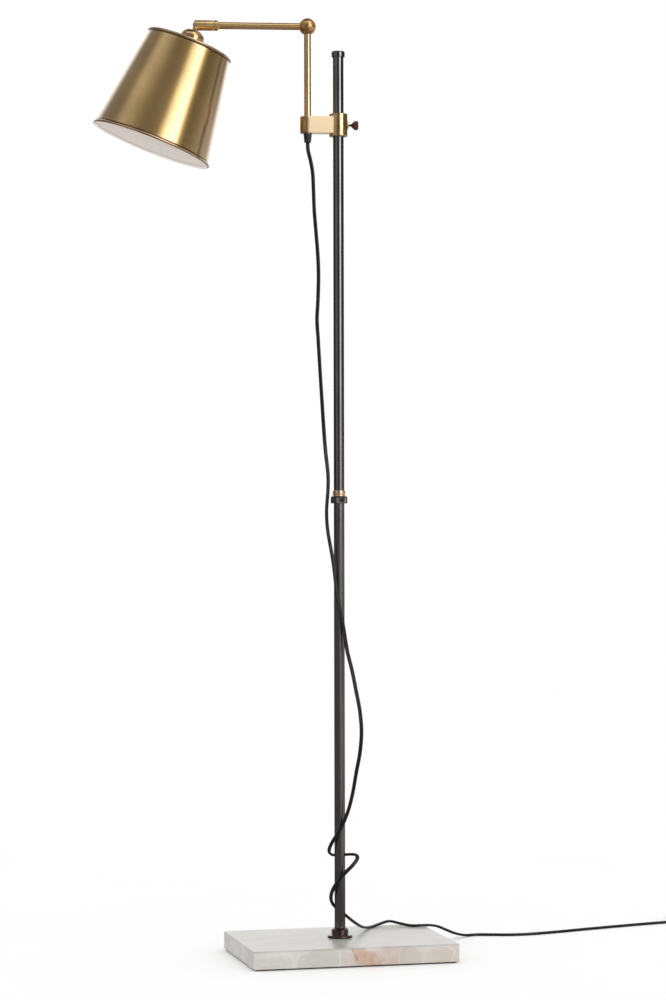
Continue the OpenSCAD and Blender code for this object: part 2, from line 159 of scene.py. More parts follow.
def lathe(name, prof, M=M_ID, n=96, closed=False, sharp=35, mod=None, seg=4):
    """A profile of (r, z[, fillet]) in millimetres turned about z. mod(theta, r, z) moves a point."""
    prof = rounded(prof, seg)
    verts, faces, rings = [], [], []
    for r, z in prof:
        if r < 1e-6:
            rings.append([len(verts)])
            verts.append((0, 0, z * MM))
        else:
            ring = []
            for k in range(n):
                t = 2 * math.pi * k / n
                rr, zz = mod(t, r, z) if mod else (r, z)
                ring.append(len(verts))
                verts.append((rr * math.cos(t) * MM, rr * math.sin(t) * MM, zz * MM))
            rings.append(ring)
    pairs = list(zip(rings, rings[1:]))
    if closed:
        pairs.append((rings[-1], rings[0]))
    for a, b in pairs:
        if len(a) == 1 and len(b) == 1:
            continue
        for k in range(n):
            j = (k + 1) % n
            if len(a) == 1:
                faces.append((a[0], b[j], b[k]))
            elif len(b) == 1:
                faces.append((a[k], a[j], b[0]))
            else:
                faces.append((a[k], a[j], b[j], b[k]))
    return make(name, verts, faces, M, sharp)


def prism(name, outline, z0, z1, bevel=0.5, M=M_ID, seg=3, sharp=35):
    """An outline (x, y) in millimetres, pulled up from z0 to z1, with its edges rounded."""
    pts = [Vector(p) for p in outline]
    n = len(pts)
    area = sum(pts[i - 1].x * pts[i].y - pts[i].x * pts[i - 1].y for i in range(n))
    if area < 0:
        pts.reverse()
    normals = []
    for i in range(n):
        e1, e2 = (pts[i] - pts[i - 1]), (pts[(i + 1) % n] - pts[i])
        n1, n2 = Vector((e1.y, -e1.x)).normalized(), Vector((e2.y, -e2.x)).normalized()
        m = (n1 + n2).normalized()
        normals.append(m / max(0.5, m.dot(n1)))
    levels = []
    for k in range(seg + 1):
        t = math.pi / 2 * k / seg
        levels.append((z0 + bevel * (1 - math.sin(t)), bevel * (1 - math.cos(t))))
    levels = [(z0 + bevel * (1 - math.cos(math.pi / 2 * k / seg)), bevel * (1 - math.sin(math.pi / 2 * k / seg))) for k in range(seg + 1)]
    levels += [(z1 - (z - z0), o) for z, o in reversed(levels)]
    verts, faces = [], []
    for z, off in levels:
        for p, m in zip(pts, normals):
            q = p - m * off
            verts.append((q.x * MM, q.y * MM, z * MM))
    for L in range(len(levels) - 1):
        for i in range(n):
            j = (i + 1) % n
            faces.append((L * n + i, L * n + j, (L + 1) * n + j, (L + 1) * n + i))
    faces.append(tuple(range(n))[::-1])
    faces.append(tuple(range((len(levels) - 1) * n, len(levels) * n)))
    return make(name, verts, faces, M, sharp)


def loft(name, sections, M=M_ID, sharp=40, caps=True):
    """Closed sections of the same number of points (millimetres), skinned in order."""
    n = len(sections[0])
    verts = [(p[0] * MM, p[1] * MM, p[2] * MM) for s in sections for p in s]
    faces = []
    for L in range(len(sections) - 1):
        for i in range(n):
            j = (i + 1) % n
            faces.append((L * n + i, L * n + j, (L + 1) * n + j, (L + 1) * n + i))
    if caps:
        faces.append(tuple(range(n))[::-1])
        faces.append(tuple(range((len(sections) - 1) * n, len(sections) * n)))
    return make(name, verts, faces, M, sharp)


def boolean(ob, other, op, sharp=35, keep=False):
    m = ob.modifiers.new("b", "BOOLEAN")
    m.operation = op
    m.solver = "EXACT"
    m.object = other
    bpy.context.view_layer.update()
    dep = bpy.context.evaluated_depsgraph_get()
    me = bpy.data.meshes.new_from_object(ob.evaluated_get(dep))
    ob.modifiers.clear()
    old = ob.data
    ob.data = me
    bpy.data.meshes.remove(old)
    me.name = ob.name
    me.shade_smooth()
    me.set_sharp_from_angle(angle=math.radians(sharp))
    if not keep:
        me2 = other.data
        bpy.data.objects.remove(other)
        bpy.data.meshes.remove(me2)
    return ob


def join(name, obs):
    """Several objects of one frame, as one."""
    bpy.context.view_layer.update()
    base = obs[0]
    inv = base.matrix_world.inverted()
    bm = bmesh.new()
    for o in obs:
        me = o.data.copy()
        me.transform(inv @ o.matrix_world)
        bm.from_mesh(me)
        bpy.data.meshes.remove(me)
    me = base.data
    bm.to_mesh(me)
    bm.free()
    me.shade_smooth()
    me.set_sharp_from_angle(angle=math.radians(35))
    for o in obs[1:]:
        m2 = o.data
        bpy.data.objects.remove(o)
        bpy.data.meshes.remove(m2)
    base.name = name
    return base


def cylinder(name, r, z0, z1, M=M_ID, n=64):
    return lathe(name, [(0, z0), (r, z0), (r, z1), (0, z1)], M, n)


def box_mesh(name, lo, hi, M=M_ID):
    x0, y0, z0 = (a * MM for a in lo)
    x1, y1, z1 = (a * MM for a in hi)
    v = [(x0, y0, z0), (x1, y0, z0), (x1, y1, z0), (x0, y1, z0), (x0, y0, z1), (x1, y0, z1), (x1, y1, z1), (x0, y1, z1)]
    f = [(3, 2, 1, 0), (4, 5, 6, 7), (0, 1, 5, 4), (1, 2, 6, 5), (2, 3, 7, 6), (3, 0, 4, 7)]
    return make(name, v, f, M, 35)


# -------------------------------------------------------------- materials ----


def lin(c):
    return tuple((x / 255 / 12.92 if x <= 10.31 else ((x / 255 + 0.055) / 1.055) ** 2.4) for x in c) + (1.0,)


class Nodes:
    def __init__(self, tree):
        self.t = tree

    def n(self, kind, ins=None, **props):
        node = self.t.nodes.new(kind)
        for k, v in props.items():
            setattr(node, k, v)
        for k, v in (ins or {}).items():
            s = node.inputs[k]
            if isinstance(v, bpy.types.NodeSocket):
                self.t.links.new(v, s)
            else:
                s.default_value = v
        return node

    def math(self, op, a, b=0.0, c=0.0, clamp=False):
        return self.n("ShaderNodeMath", {0: a, 1: b, 2: c}, operation=op, use_clamp=clamp).outputs[0]

    def mix(self, fac, a, b, blend="MIX"):
        m = self.n("ShaderNodeMix", {0: fac, 6: a, 7: b}, data_type="RGBA", blend_type=blend, clamp_factor=True)
        return m.outputs[2]

    def noise(self, vec, scale=1.0, detail=3.0, rough=0.5, dist=0.0, out="Fac"):
        return self.n("ShaderNodeTexNoise", {"Vector": vec, "Scale": scale, "Detail": detail, "Roughness": rough, "Distortion": dist}).outputs[out]

    def scaled(self, vec, s, loc=(0, 0, 0)):
        return self.n("ShaderNodeMapping", {"Vector": vec, "Scale": s, "Location": loc}).outputs[0]

    def obj(self, M=None):
        """Object coordinates, or those of a frame that sits still in them."""
        o = self.n("ShaderNodeTexCoord").outputs["Object"]
        if M is None:
            return o
        inv = M.inverted()
        parts = []
        for k in range(3):
            d = self.n("ShaderNodeVectorMath", {0: o, 1: tuple(inv[k][:3])}, operation="DOT_PRODUCT").outputs["Value"]
            parts.append(self.math("ADD", d, inv[k][3]))
        return self.n("ShaderNodeCombineXYZ", {0: parts[0], 1: parts[1], 2: parts[2]}).outputs[0]

    def span(self, v, a, b, lo=0.0, hi=1.0, smooth=True):
        m = self.n("ShaderNodeMapRange", {"Value": v, "From Min": a, "From Max": b, "To Min": lo, "To Max": hi},
                   interpolation_type="SMOOTHSTEP" if smooth else "LINEAR")
        return m.outputs[0]

    def bump(self, height, strength, distance, normal=None):
        ins = {"Height": height, "Strength": strength, "Distance": distance}
        if normal is not None:
            ins["Normal"] = normal
        return self.n("ShaderNodeBump", ins).outputs[0]


def principled(name, **ins):
    m = bpy.data.materials.new(name)
    m.use_nodes = True
    t = m.node_tree
    t.nodes.clear()
    g = Nodes(t)
    out = g.n("ShaderNodeOutputMaterial")
    bsdf = g.n("ShaderNodeBsdfPrincipled")
    t.links.new(bsdf.outputs[0], out.inputs[0])
    return m, g, bsdf


def put(g, bsdf, **ins):
    names = {"color": "Base Color", "metal": "Metallic", "rough": "Roughness", "normal": "Normal", "ior": "IOR",
             "coat": "Coat Weight", "coat_rough": "Coat Roughness", "aniso": "Anisotropic", "spec": "Specular IOR Level",
             "sss": "Subsurface Weight", "sss_radius": "Subsurface Radius", "sss_scale": "Subsurface Scale",
             "sheen": "Sheen Weight", "tangent": "Tangent", "trans": "Transmission Weight", "coat_ior": "Coat IOR", "tint": "Specular Tint"}
    for k, v in ins.items():
        s = bsdf.inputs[names[k]]
        if isinstance(v, bpy.types.NodeSocket):
            g.t.links.new(v, s)
        else:
            s.default_value = v


def brushed_metal(name, light, dark, rough=(0.28, 0.42), brush=(6, 6, 700), coat=0.25, coat_rough=0.18, depth=0.000012,
                  spots=0.5, aniso=0.0, streak=0.2, frame_m=None, fine=0.12,
                  coat_ior=1.5, edge=None, painted_highlight=None):
    """Lacquered, brushed metal: fine lines along one way, cloudy patina, and small dark flecks."""
    m, g, b = principled(name)
    o = g.obj(frame_m)
    lines = g.noise(g.scaled(o, brush), 1.0, 4.0, 0.65)
    broad = g.noise(g.scaled(o, (brush[0] * 0.6 + 3, brush[1] * 0.6 + 3, brush[2] * 0.08 + 3)), 1.0, 2.0, 0.5)
    cloud = g.noise(o, 11.0, 4.0, 0.6, 0.4)
    fleck = g.span(g.noise(o, 330.0, 2.0, 0.5), 0.66, 0.80)
    tone = g.math("ADD", g.math("MULTIPLY", cloud, 0.65), g.math("MULTIPLY", broad, streak))
    tone = g.math("ADD", tone, g.math("MULTIPLY", g.math("SUBTRACT", lines, 0.5), fine))
    tone = g.span(tone, 0.325 + streak * 0.5 - 0.20, 0.325 + streak * 0.5 + 0.20)
    col = g.mix(tone, lin(dark), lin(light))
    col = g.mix(g.math("MULTIPLY", fleck, spots), col, lin(tuple(x * 0.45 for x in dark)))
    r = g.math("ADD", g.span(tone, 0, 1, rough[1], rough[0], smooth=False), g.math("MULTIPLY", g.math("SUBTRACT", lines, 0.5), 0.03))
    nrm = g.bump(lines, 0.5, depth)
    metal = 1.0
    if painted_highlight is not None:                   # painted highlight: the flat of the bar is painted pale and less metallic than the round parts, standing in for its bright reflection
        lo, hi, highlight_col, smet, srough = painted_highlight
        k = g.span(g.n("ShaderNodeSeparateXYZ", {0: o}).outputs[0], lo, hi)
        col = g.mix(k, col, lin(highlight_col))
        metal = g.math("SUBTRACT", 1.0, g.math("MULTIPLY", k, 1.0 - smet))
        r = g.math("ADD", g.math("MULTIPLY", r, g.math("SUBTRACT", 1.0, k)), g.math("MULTIPLY", k, srough))
    put(g, b, color=col, metal=metal, rough=r, normal=nrm, coat=coat, coat_rough=coat_rough, coat_ior=coat_ior)
    if edge is not None:
        put(g, b, tint=(edge, edge, edge, 1.0))
    if aniso:
        tan = g.n("ShaderNodeTangent", direction_type="UV_MAP", uv_map="turned")
        put(g, b, aniso=aniso, tangent=tan.outputs[0])
    return m


BRASS_L, BRASS_D = (204, 166, 106), (172, 132, 78)
FINE = dict(coat=0.8, depth=0.000001, fine=0.03, coat_ior=1.8, coat_rough=0.12, spots=0.25)
brass_z = brushed_metal("brass_turned", (214, 178, 116), (182, 144, 88), (0.20, 0.25), brush=(8, 8, 400), **FINE)
# painted light: the arm's brass is a lighter copy of the turned brass, standing in for the brighter reflection along
# the level arm tube; it also goes on the arm-end collar, the fork and the thumbscrew boss
brass_arm_painted_lighter = brushed_metal("brass_turned_arm_painted_lighter", (228, 190, 126), (196, 154, 94), (0.20, 0.25), brush=(8, 8, 400), frame_m=M_ARM, **FINE)
brass_ball = brushed_metal("brass_ball", BRASS_L, BRASS_D, (0.23, 0.28), brush=(8, 8, 400), frame_m=M_ARM, coat=0.4, coat_rough=0.2, depth=0.000001, fine=0.03, spots=0.3)
brass_cup = brushed_metal("brass_turned_dome", (186, 150, 94), (150, 114, 64), (0.22, 0.28), brush=(8, 8, 400), frame_m=M_SHADE, **FINE)
# painted highlight: the bar is painted pale from 55 to 48.5 mm out from the post's axis, and all the way in to the
# collar
brass_bar = brushed_metal("brass_flat", (196, 162, 104), (164, 128, 76), (0.22, 0.28), brush=(8, 500, 500), frame_m=M_CLAMP, coat=0.3, coat_rough=0.3,
                          depth=0.000001, fine=0.04, painted_highlight=(-0.0550, -0.0485, (250, 225, 183), 0.32, 0.40))
brass_collar = brushed_metal("brass_collar", BRASS_L, BRASS_D, (0.17, 0.22), brush=(8, 8, 400), **FINE)
brass_shade = brushed_metal("brass_shade", (186, 152, 84), (162, 128, 66), (0.20, 0.24), brush=(4, 4, 300), aniso=0.3, spots=0.12, streak=0.14,
                            fine=0.05, frame_m=M_SHADE, depth=0.000001, coat=1.0, coat_rough=0.12, coat_ior=1.8)
brass_rim = brushed_metal("brass_rim", (206, 170, 126), (164, 128, 88), (0.10, 0.15), brush=(30, 30, 200), spots=0.5, frame_m=M_SHADE, depth=0.000001, fine=0.04, coat=0.8, coat_ior=1.8, coat_rough=0.06)
brass_ring = brushed_metal("brass_ring", (240, 202, 158), (204, 160, 116), (0.13, 0.18), brush=(30, 30, 300), spots=0.4, depth=0.000001, fine=0.04, coat=0.8, coat_ior=1.7)
post_mat = brushed_metal("post_bronze", (110, 106, 104), (94, 90, 88), (0.11, 0.15), brush=(10, 10, 120), coat=0.3, coat_rough=0.06, depth=0.0000005, spots=0.2, streak=0.3, fine=0.03, edge=0.25)
black_mat = brushed_metal("black_steel", (104, 101, 98), (84, 80, 78), (0.09, 0.13), brush=(40, 40, 400), coat=0.4, coat_rough=0.04, depth=0.000001, spots=0.3, edge=0.25)
foot_mat = brushed_metal("foot_bronze", (96, 78, 72), (68, 52, 48), (0.20, 0.30), brush=(30, 30, 300), coat=0.3, coat_rough=0.12, spots=0.6, depth=0.000002)
knob_mat = brushed_metal("knob_copper", (122, 90, 76), (84, 60, 52), (0.26, 0.36), brush=(60, 60, 500), coat=0.2, spots=0.8, frame_m=M_SCREW, depth=0.000004)
steel_mat = brushed_metal("zinc_steel", (190, 190, 192), (150, 151, 154), (0.28, 0.42), brush=(90, 90, 900), coat=0.0, spots=0.4, depth=0.000004)
shank_mat = brushed_metal("dark_shank", (96, 84, 78), (62, 50, 46), (0.24, 0.34), brush=(90, 90, 900), coat=0.2, spots=0.6, frame_m=M_SCREW, depth=0.000003)
nickel_mat = brushed_metal("nickel", (205, 200, 192), (170, 164, 154), (0.18, 0.28), brush=(60, 60, 500), coat=0.0, spots=0.3, frame_m=M_SHADE, depth=0.000003)
bush_mat = brushed_metal("bush_brass", (214, 184, 122), (176, 144, 88), (0.28, 0.4), brush=(80, 80, 900), coat=0.0, spots=0.6, depth=0.000004)


def plastic(name, color, rough=0.3, grain=900.0, depth=0.00001, coat=0.0, vary=0.12, spec=0.5):
    m, g, b = principled(name)
    o = g.obj()
    fine = g.noise(o, grain, 3.0, 0.6)
    cloud = g.noise(o, 30.0, 3.0, 0.55)
    c = lin(color)
    dark = tuple(x * (1 - vary) for x in c[:3]) + (1,)
    lite = tuple(min(1, x * (1 + vary)) for x in c[:3]) + (1,)
    put(g, b, color=g.mix(cloud, dark, lite),
        rough=g.math("ADD", g.math("MULTIPLY", fine, 0.10), g.math("ADD", g.math("MULTIPLY", cloud, 0.08), rough - 0.09)),
        normal=g.bump(fine, 0.4, depth), coat=coat, spec=spec)
    return m


gland_mat = plastic("gland_black", (10, 9, 9), 0.16, 700.0, 0.000003, coat=0.7)
plug_mat = plastic("plug_black", (24, 24, 25), 0.34, 1500.0, 0.00002)
phenolic_mat = plastic("phenolic_brown", (46, 36, 31), 0.26, 500.0, 0.00001, coat=0.2, vary=0.3)
nylon_mat = plastic("nylon", (226, 222, 206), 0.42, 1200.0, 0.00001, vary=0.05)
flex_mat = plastic("flex_pvc", (11, 10, 10), 0.32, 1600.0, 0.00002, vary=0.2, spec=0.4)
tie_mat = plastic("tie_band", (38, 38, 41), 0.62, 2400.0, 0.00006, vary=0.25)


def enamel():
    m, g, b = principled("white_enamel")
    o = g.obj()
    peel = g.noise(o, 160.0, 2.0, 0.5)
    cloud = g.noise(o, 9.0, 3.0, 0.6)
    put(g, b, color=g.mix(cloud, lin((236, 228, 221)), lin((243, 237, 231))),
        rough=g.math("ADD", g.math("MULTIPLY", cloud, 0.12), 0.34), normal=g.bump(peel, 0.3, 0.00003), spec=0.5)
    return m


enamel_mat = enamel()


def felt():
    m, g, b = principled("felt_black")
    o = g.obj()
    a = g.noise(o, 1300.0, 4.0, 0.7)
    c = g.noise(o, 90.0, 3.0, 0.6)
    put(g, b, color=g.mix(g.math("ADD", g.math("MULTIPLY", a, 0.6), g.math("MULTIPLY", c, 0.4)), lin((22, 22, 24)), lin((52, 52, 55))),
        rough=0.95, normal=g.bump(a, 0.8, 0.0003), sheen=0.3, spec=0.2)
    return m


felt_mat = felt()


def onyx():
    """Cloudy pale onyx: rounded cells edged with whitish veins, faint level streaks and one warm patch at the front."""
    m, g, b = principled("onyx")
    o = g.obj()
    sep = g.n("ShaderNodeSeparateXYZ", {0: o})
    x, y, z = sep.outputs
    warp = g.noise(o, 16.0, 3.0, 0.55, out="Color")
    wv = g.n("ShaderNodeVectorMath", {0: warp, 1: (0.5, 0.5, 0.5)}, operation="SUBTRACT").outputs[0]
    wv = g.n("ShaderNodeVectorMath", {0: wv, "Scale": 0.030}, operation="SCALE").outputs[0]
    ow = g.n("ShaderNodeVectorMath", {0: o, 1: wv}, operation="ADD").outputs[0]
    # level streaks, strongest on the top
    streak = g.noise(g.scaled(ow, (7, 60, 90)), 1.0, 4.0, 0.6)
    cloud = g.noise(g.scaled(ow, (13, 13, 26)), 1.0, 5.0, 0.62, 0.6)
    base = g.mix(g.span(cloud, 0.32, 0.70), lin((205, 203, 196)), lin((228, 225, 219)))
    base = g.mix(g.math("MULTIPLY", g.span(streak, 0.35, 0.70), 0.55), base, lin((236, 234, 230)))
    # rounded cells with pale outlines
    cells = g.n("ShaderNodeTexVoronoi", {"Vector": g.scaled(ow, (13, 13, 10)), "Scale": 1.0, "Randomness": 0.9}, feature="DISTANCE_TO_EDGE")
    cellc = g.n("ShaderNodeTexVoronoi", {"Vector": g.scaled(ow, (13, 13, 10)), "Scale": 1.0, "Randomness": 0.9}, feature="F1")
    tint = g.n("ShaderNodeSeparateXYZ", {0: cellc.outputs["Color"]})
    vein = g.span(cells.outputs[0], 0.0, 0.055, 1.0, 0.0)
    inner = g.span(cells.outputs[0], 0.03, 0.40)
    front = g.span(y, -0.105, -0.119)       # 1 at the front face, 0 inside
    side = g.span(z, 0.0315, 0.0285)        # 1 below the top edge
    edge_faces = g.math("MAXIMUM", g.math("MULTIPLY", side, 0.85), 0.16)
    grey = g.mix(tint.outputs[0], lin((201, 199, 190)), lin((216, 212, 203)))
    base = g.mix(g.math("MULTIPLY", g.math("MULTIPLY", inner, edge_faces), 0.55), base, grey)
    base = g.mix(g.math("MULTIPLY", g.math("MULTIPLY", vein, edge_faces), 0.45), base, lin((236, 234, 230)))

    sx = g.n("ShaderNodeSeparateXYZ", {0: ow})
    wx, wy, wz = sx.outputs

    def patch(cx, cz, a, c, soft=0.35, shear=0.0):
        dx = g.math("DIVIDE", g.math("SUBTRACT", g.math("SUBTRACT", wx, cx), g.math("MULTIPLY", g.math("SUBTRACT", wz, cz), shear)), a)
        dz = g.math("DIVIDE", g.math("SUBTRACT", wz, cz), c)
        d = g.math("SQRT", g.math("ADD", g.math("MULTIPLY", dx, dx), g.math("MULTIPLY", dz, dz)))
        return d, g.span(d, 1.0 + soft * 0.5, 1.0 - soft)

    near = g.span(y, -0.090, -0.117)        # the patches reach a little way in
    mott = g.noise(o, 95.0, 4.0, 0.6)
    soft_n = g.noise(o, 45.0, 3.0, 0.6)

    def lay(mask, where, amount, color, under):
        return g.mix(g.math("MULTIPLY", g.math("MULTIPLY", mask, where), amount), under, color)

    # warm wash at the right end, pink wash right of the middle
    base = lay(g.span(x, 0.080, 0.170), side, 0.55, lin((216, 202, 184)), base)
    d, f = patch(0.052, 0.014, 0.052, 0.026, 0.7)
    base = lay(f, near, 0.85, g.mix(g.span(mott, 0.35, 0.65), lin((213, 192, 180)), lin((222, 206, 196))), base)
    d, f = patch(-0.014, 0.012, 0.022, 0.018, 0.8)
    base = lay(f, near, 0.5, lin((216, 203, 192)), base)
    # the orange cell: mottled, deepest along its slanting left edge, with a thin arc low on the right
    d, f = patch(0.0135, 0.0125, 0.0205, 0.0190, 0.45, -0.45)
    orange = g.mix(g.span(mott, 0.30, 0.68), lin((206, 168, 142)), lin((214, 188, 168)))
    base = lay(f, near, 0.9, orange, base)
    line_x = g.math("ADD", g.math("SUBTRACT", wx, -0.0080), g.math("MULTIPLY", g.math("SUBTRACT", wz, 0.028), 0.55))
    streak_l = g.math("MULTIPLY", g.span(g.math("ABSOLUTE", line_x), 0.0036, 0.0006), g.span(soft_n, 0.25, 0.50))
    base = lay(g.math("MULTIPLY", streak_l, g.span(wz, 0.004, 0.014)), front, 0.9, lin((186, 122, 92)), base)
    right_low = g.math("MULTIPLY", g.span(wx, 0.010, 0.026), g.span(wz, 0.027, 0.016))
    arc = g.math("MULTIPLY", g.span(g.math("ABSOLUTE", g.math("SUBTRACT", d, 0.96)), 0.06, 0.01), right_low)
    base = lay(arc, front, 0.75, lin((226, 158, 132)), base)
    # a white cloud over its top
    d, f = patch(0.022, 0.0305, 0.026, 0.0075, 0.9)
    base = lay(g.math("MULTIPLY", f, g.span(soft_n, 0.30, 0.62)), near, 0.9, lin((238, 236, 233)), base)
    # grey rounded cells with faint pale outlines
    for cx, cz, a, c, sh, amt in ((-0.070, 0.010, 0.036, 0.021, 0.25, 0.50), (0.090, 0.013, 0.0185, 0.021, -0.2, 0.55), (-0.150, 0.006, 0.040, 0.018, 0.4, 0.30),
                                  (0.140, 0.010, 0.030, 0.017, 0.3, 0.25)):
        d, f = patch(cx, cz, a, c, 0.18, sh)
        base = lay(f, front, amt, lin((205, 203, 193)), base)
        ring = g.math("MULTIPLY", g.span(g.math("ABSOLUTE", g.math("SUBTRACT", d, 1.0)), 0.085, 0.0), g.span(soft_n, 0.34, 0.66))
        base = lay(ring, front, 0.75, lin((234, 232, 227)), base)
    # painted light and shade: the top is multiplied darker (0.63) than the sides (0.87), because the top sees more of
    # the pale room; the common 0.57 darkens the whole stone
    top_painted_darker_k = g.math("ADD", 0.57, g.math("MULTIPLY", edge_faces, 0.35))
    base = g.mix(1.0, base, g.n("ShaderNodeCombineXYZ", {0: top_painted_darker_k, 1: top_painted_darker_k, 2: top_painted_darker_k}).outputs[0], "MULTIPLY")
    fine = g.noise(o, 420.0, 3.0, 0.6)
    put(g, b, color=base, rough=g.math("ADD", g.math("MULTIPLY", cloud, 0.14), 0.24), normal=g.bump(fine, 0.15, 0.00002),
        sss=0.35, sss_radius=(1.0, 0.9, 0.75), sss_scale=0.006, spec=0.45)
    return m


onyx_mat = onyx()

slot_mats = {"felt": felt_mat, "stone": onyx_mat, "dark_bronze": post_mat, "foot_bronze": foot_mat, "black_metal": black_mat,
             "copper_bronze": knob_mat, "antique_brass": brass_z, "steel": steel_mat, "bush_brass": bush_mat, "nylon": nylon_mat,
             "black_plastic": gland_mat, "phenolic": phenolic_mat, "nickel": nickel_mat, "cord_pvc": flex_mat,
             "tie_black": tie_mat, "plug_brass": bush_mat}
node_slot = {s["node"]: s["material_slot"] for s in rec["subparts"]}
for node, ob in frame["nodes"].items():
    m = slot_mats[node_slot[node]]
    if not ob.material_slots:
        ob.data.materials.append(m)
    for s in ob.material_slots:
        s.material = m


def bake(ob):
    """Puts the mesh in the row frame, with its object at the origin."""
    bpy.context.view_layer.update()
    ob.data.transform(ob.matrix_world)
    ob.matrix_world = M_ID
    bpy.context.view_layer.update()
    return ob


def turned_uv(ob):
    """u runs once round the piece's own z axis, so that the brushing follows it."""
    me = ob.data
    uv = me.uv_layers.new(name="turned")
    for f in me.polygons:
        ang = []
        for li in f.loop_indices:
            c = me.vertices[me.loops[li].vertex_index].co
            ang.append(math.atan2(c.y, c.x) / (2 * math.pi))
        if max(ang) - min(ang) > 0.5:
            ang = [a + 1 if a < 0 else a for a in ang]
        for li, a in zip(f.loop_indices, ang):
            c = me.vertices[me.loops[li].vertex_index].co
            uv.data[li].uv = (a, c.z * 2 + math.hypot(c.x, c.y))


def piece(ob, body, mat, nodes=()):
    bake(ob)
    ob.data.materials.clear()
    ob.data.materials.append(mat)
    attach(ob, body)
    if nodes:
        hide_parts(*nodes)
    return ob


# ------------------------------------------------------------------ cord ----

GX, GY = -52 * EX.x, -52 * EX.y
SLAB_Z, FLOOR_Z = 34.3, 2.3      # middle of the flat flex where it lies
ROUTE = [[GX, GY, 1374.2], [GX + 0.4, GY - 0.2, 1362.2], [-47, 6.5, 1345], [-43.5, 5.5, 1324], [-42, 5, 1290],
         [-41, 4.5, 1260], [-38.5, 3.5, 1226], [-35.5, 2.5, 1185], [-34.5, 1.5, 1150], [-36, 1, 1103], [-37.5, 1, 1076],
         [-36, 0, 1046], [-30, -2, 940], [-25, -4, 860], [-20.5, -6, 812], [-21, -7, 788], [-23.5, -7, 752],
         [-22, -7.5, 722], [-13.5, -11, 668], [-5, -13, 600], [0.5, -14, 574], [4.5, -14.5, 550], [10, -16, 515],
         [17, -17.5, 486], [24, -19, 450], [30.5, -20, 414], [33, -20.5, 380], [30.5, -20, 346], [24, -18.5, 310],
         [18.5, -17.5, 278], [12, -16, 251], [3, -14, 227], [-6, -12.5, 210], [-13, -9, 198], [-17.5, -3.5, 187],
         [-18, 3.5, 178], [-14, 10, 172], [-6.5, 13.5, 169.5], [2.5, 13.5, 169.5], [11.5, 11, 170], [20.5, 6.5, 171],
         [27, 0, 171], [29.5, -6.5, 168.5], [26.5, -12, 163.5], [18, -15.5, 154.5], [7.5, -15, 144.5], [-2, -13, 134],
         [-10, -10.5, 122.5], [-14.5, -6, 112], [-15.5, 0.5, 102], [-13, 7.5, 92.5], [-6.5, 12.5, 83], [2.5, 14, 75.5],
         [11.5, 13.5, 68.5], [20, 17, 61.5], [30, 26, 54], [42, 41, 46], [56, 61, 38.5], [76, 87, SLAB_Z],
         [100, 108, SLAB_Z + 2.2], [117, 116, SLAB_Z + 4.6], [134, 104, SLAB_Z + 1.6], [150, 85, SLAB_Z], [168, 80, SLAB_Z + 0.6],
         [184, 89, 33.2], [200, 100, 29.0], [222, 119, 19.0], [246, 141, 8.6], [268, 157, 2.9], [290, 163, FLOOR_Z],
         [314, 156, FLOOR_Z], [345, 147, FLOOR_Z], [380, 146, FLOOR_Z], [430, 157, FLOOR_Z], [490, 175, FLOOR_Z],
         [560, 195, FLOOR_Z], [630, 213, FLOOR_Z], [668, 221, FLOOR_Z], [695, 225, FLOOR_Z], [712, 225.5, FLOOR_Z]]
TAIL = [[765.5, 278, 6.6], [763, 287, 6.5], [760, 295, 6.5], [757, 303, 6.5]]
COIL_C = (730.0, 262.0)


def ease(t, a, b):
    t = min(1.0, max(0.0, (t - a) / (b - a)))
    return t * t * (3 - 2 * t)


def coil_points():
    """One bottom turn at 36 mm, one at 30 mm, then a second layer that ends at 36 mm again."""
    out, t = [], 0.0
    end = 3 * 360 + 102.5
    while t <= end + 1e-6:
        r = 36.25 - 6.5 * ease(t, 262, 326) + 6.5 * ease(t, 1000, 1064)
        z = FLOOR_Z + 4.4 * ease(t, 590, 644)
        a = (t - 90) % 360
        d = (a - 159 + 180) % 360 - 180
        z += 0.85 * math.exp(-(d / 38.0) ** 2)
        out.append([COIL_C[0] + r * math.cos(math.radians(a)), COIL_C[1] + r * math.sin(math.radians(a)), z])
        t += 7.5
    return out


def smooth_line(points, step):
    """Catmull-Rom (centripetal) through the points, at an even step, in millimetres."""
    P = [np.array(p, float) for p in points]
    P = [2 * P[0] - P[1]] + P + [2 * P[-1] - P[-2]]
    out = []
    for i in range(1, len(P) - 2):
        p0, p1, p2, p3 = P[i - 1:i + 3]
        t0 = 0.0
        t1 = t0 + max(1e-6, np.linalg.norm(p1 - p0)) ** 0.5
        t2 = t1 + max(1e-6, np.linalg.norm(p2 - p1)) ** 0.5
        t3 = t2 + max(1e-6, np.linalg.norm(p3 - p2)) ** 0.5
        n = max(2, int(np.linalg.norm(p2 - p1) / 1.0))
        for k in range(n):
            t = t1 + (t2 - t1) * k / n
            a1 = (t1 - t) / (t1 - t0) * p0 + (t - t0) / (t1 - t0) * p1
            a2 = (t2 - t) / (t2 - t1) * p1 + (t - t1) / (t2 - t1) * p2
            a3 = (t3 - t) / (t3 - t2) * p2 + (t - t2) / (t3 - t2) * p3
            b1 = (t2 - t) / (t2 - t0) * a1 + (t - t0) / (t2 - t0) * a2
            b2 = (t3 - t) / (t3 - t1) * a2 + (t - t1) / (t3 - t1) * a3
            out.append((t2 - t) / (t2 - t1) * b1 + (t - t1) / (t2 - t1) * b2)
    out.append(P[-2])
    out = np.array(out)
    s = np.r_[0, np.cumsum(np.linalg.norm(np.diff(out, axis=0), axis=1))]
    m = int(round(s[-1] / step))
    u = np.linspace(0, s[-1], m + 1)
    return np.c_[[np.interp(u, s, out[:, k]) for k in range(3)]].T, s[-1]


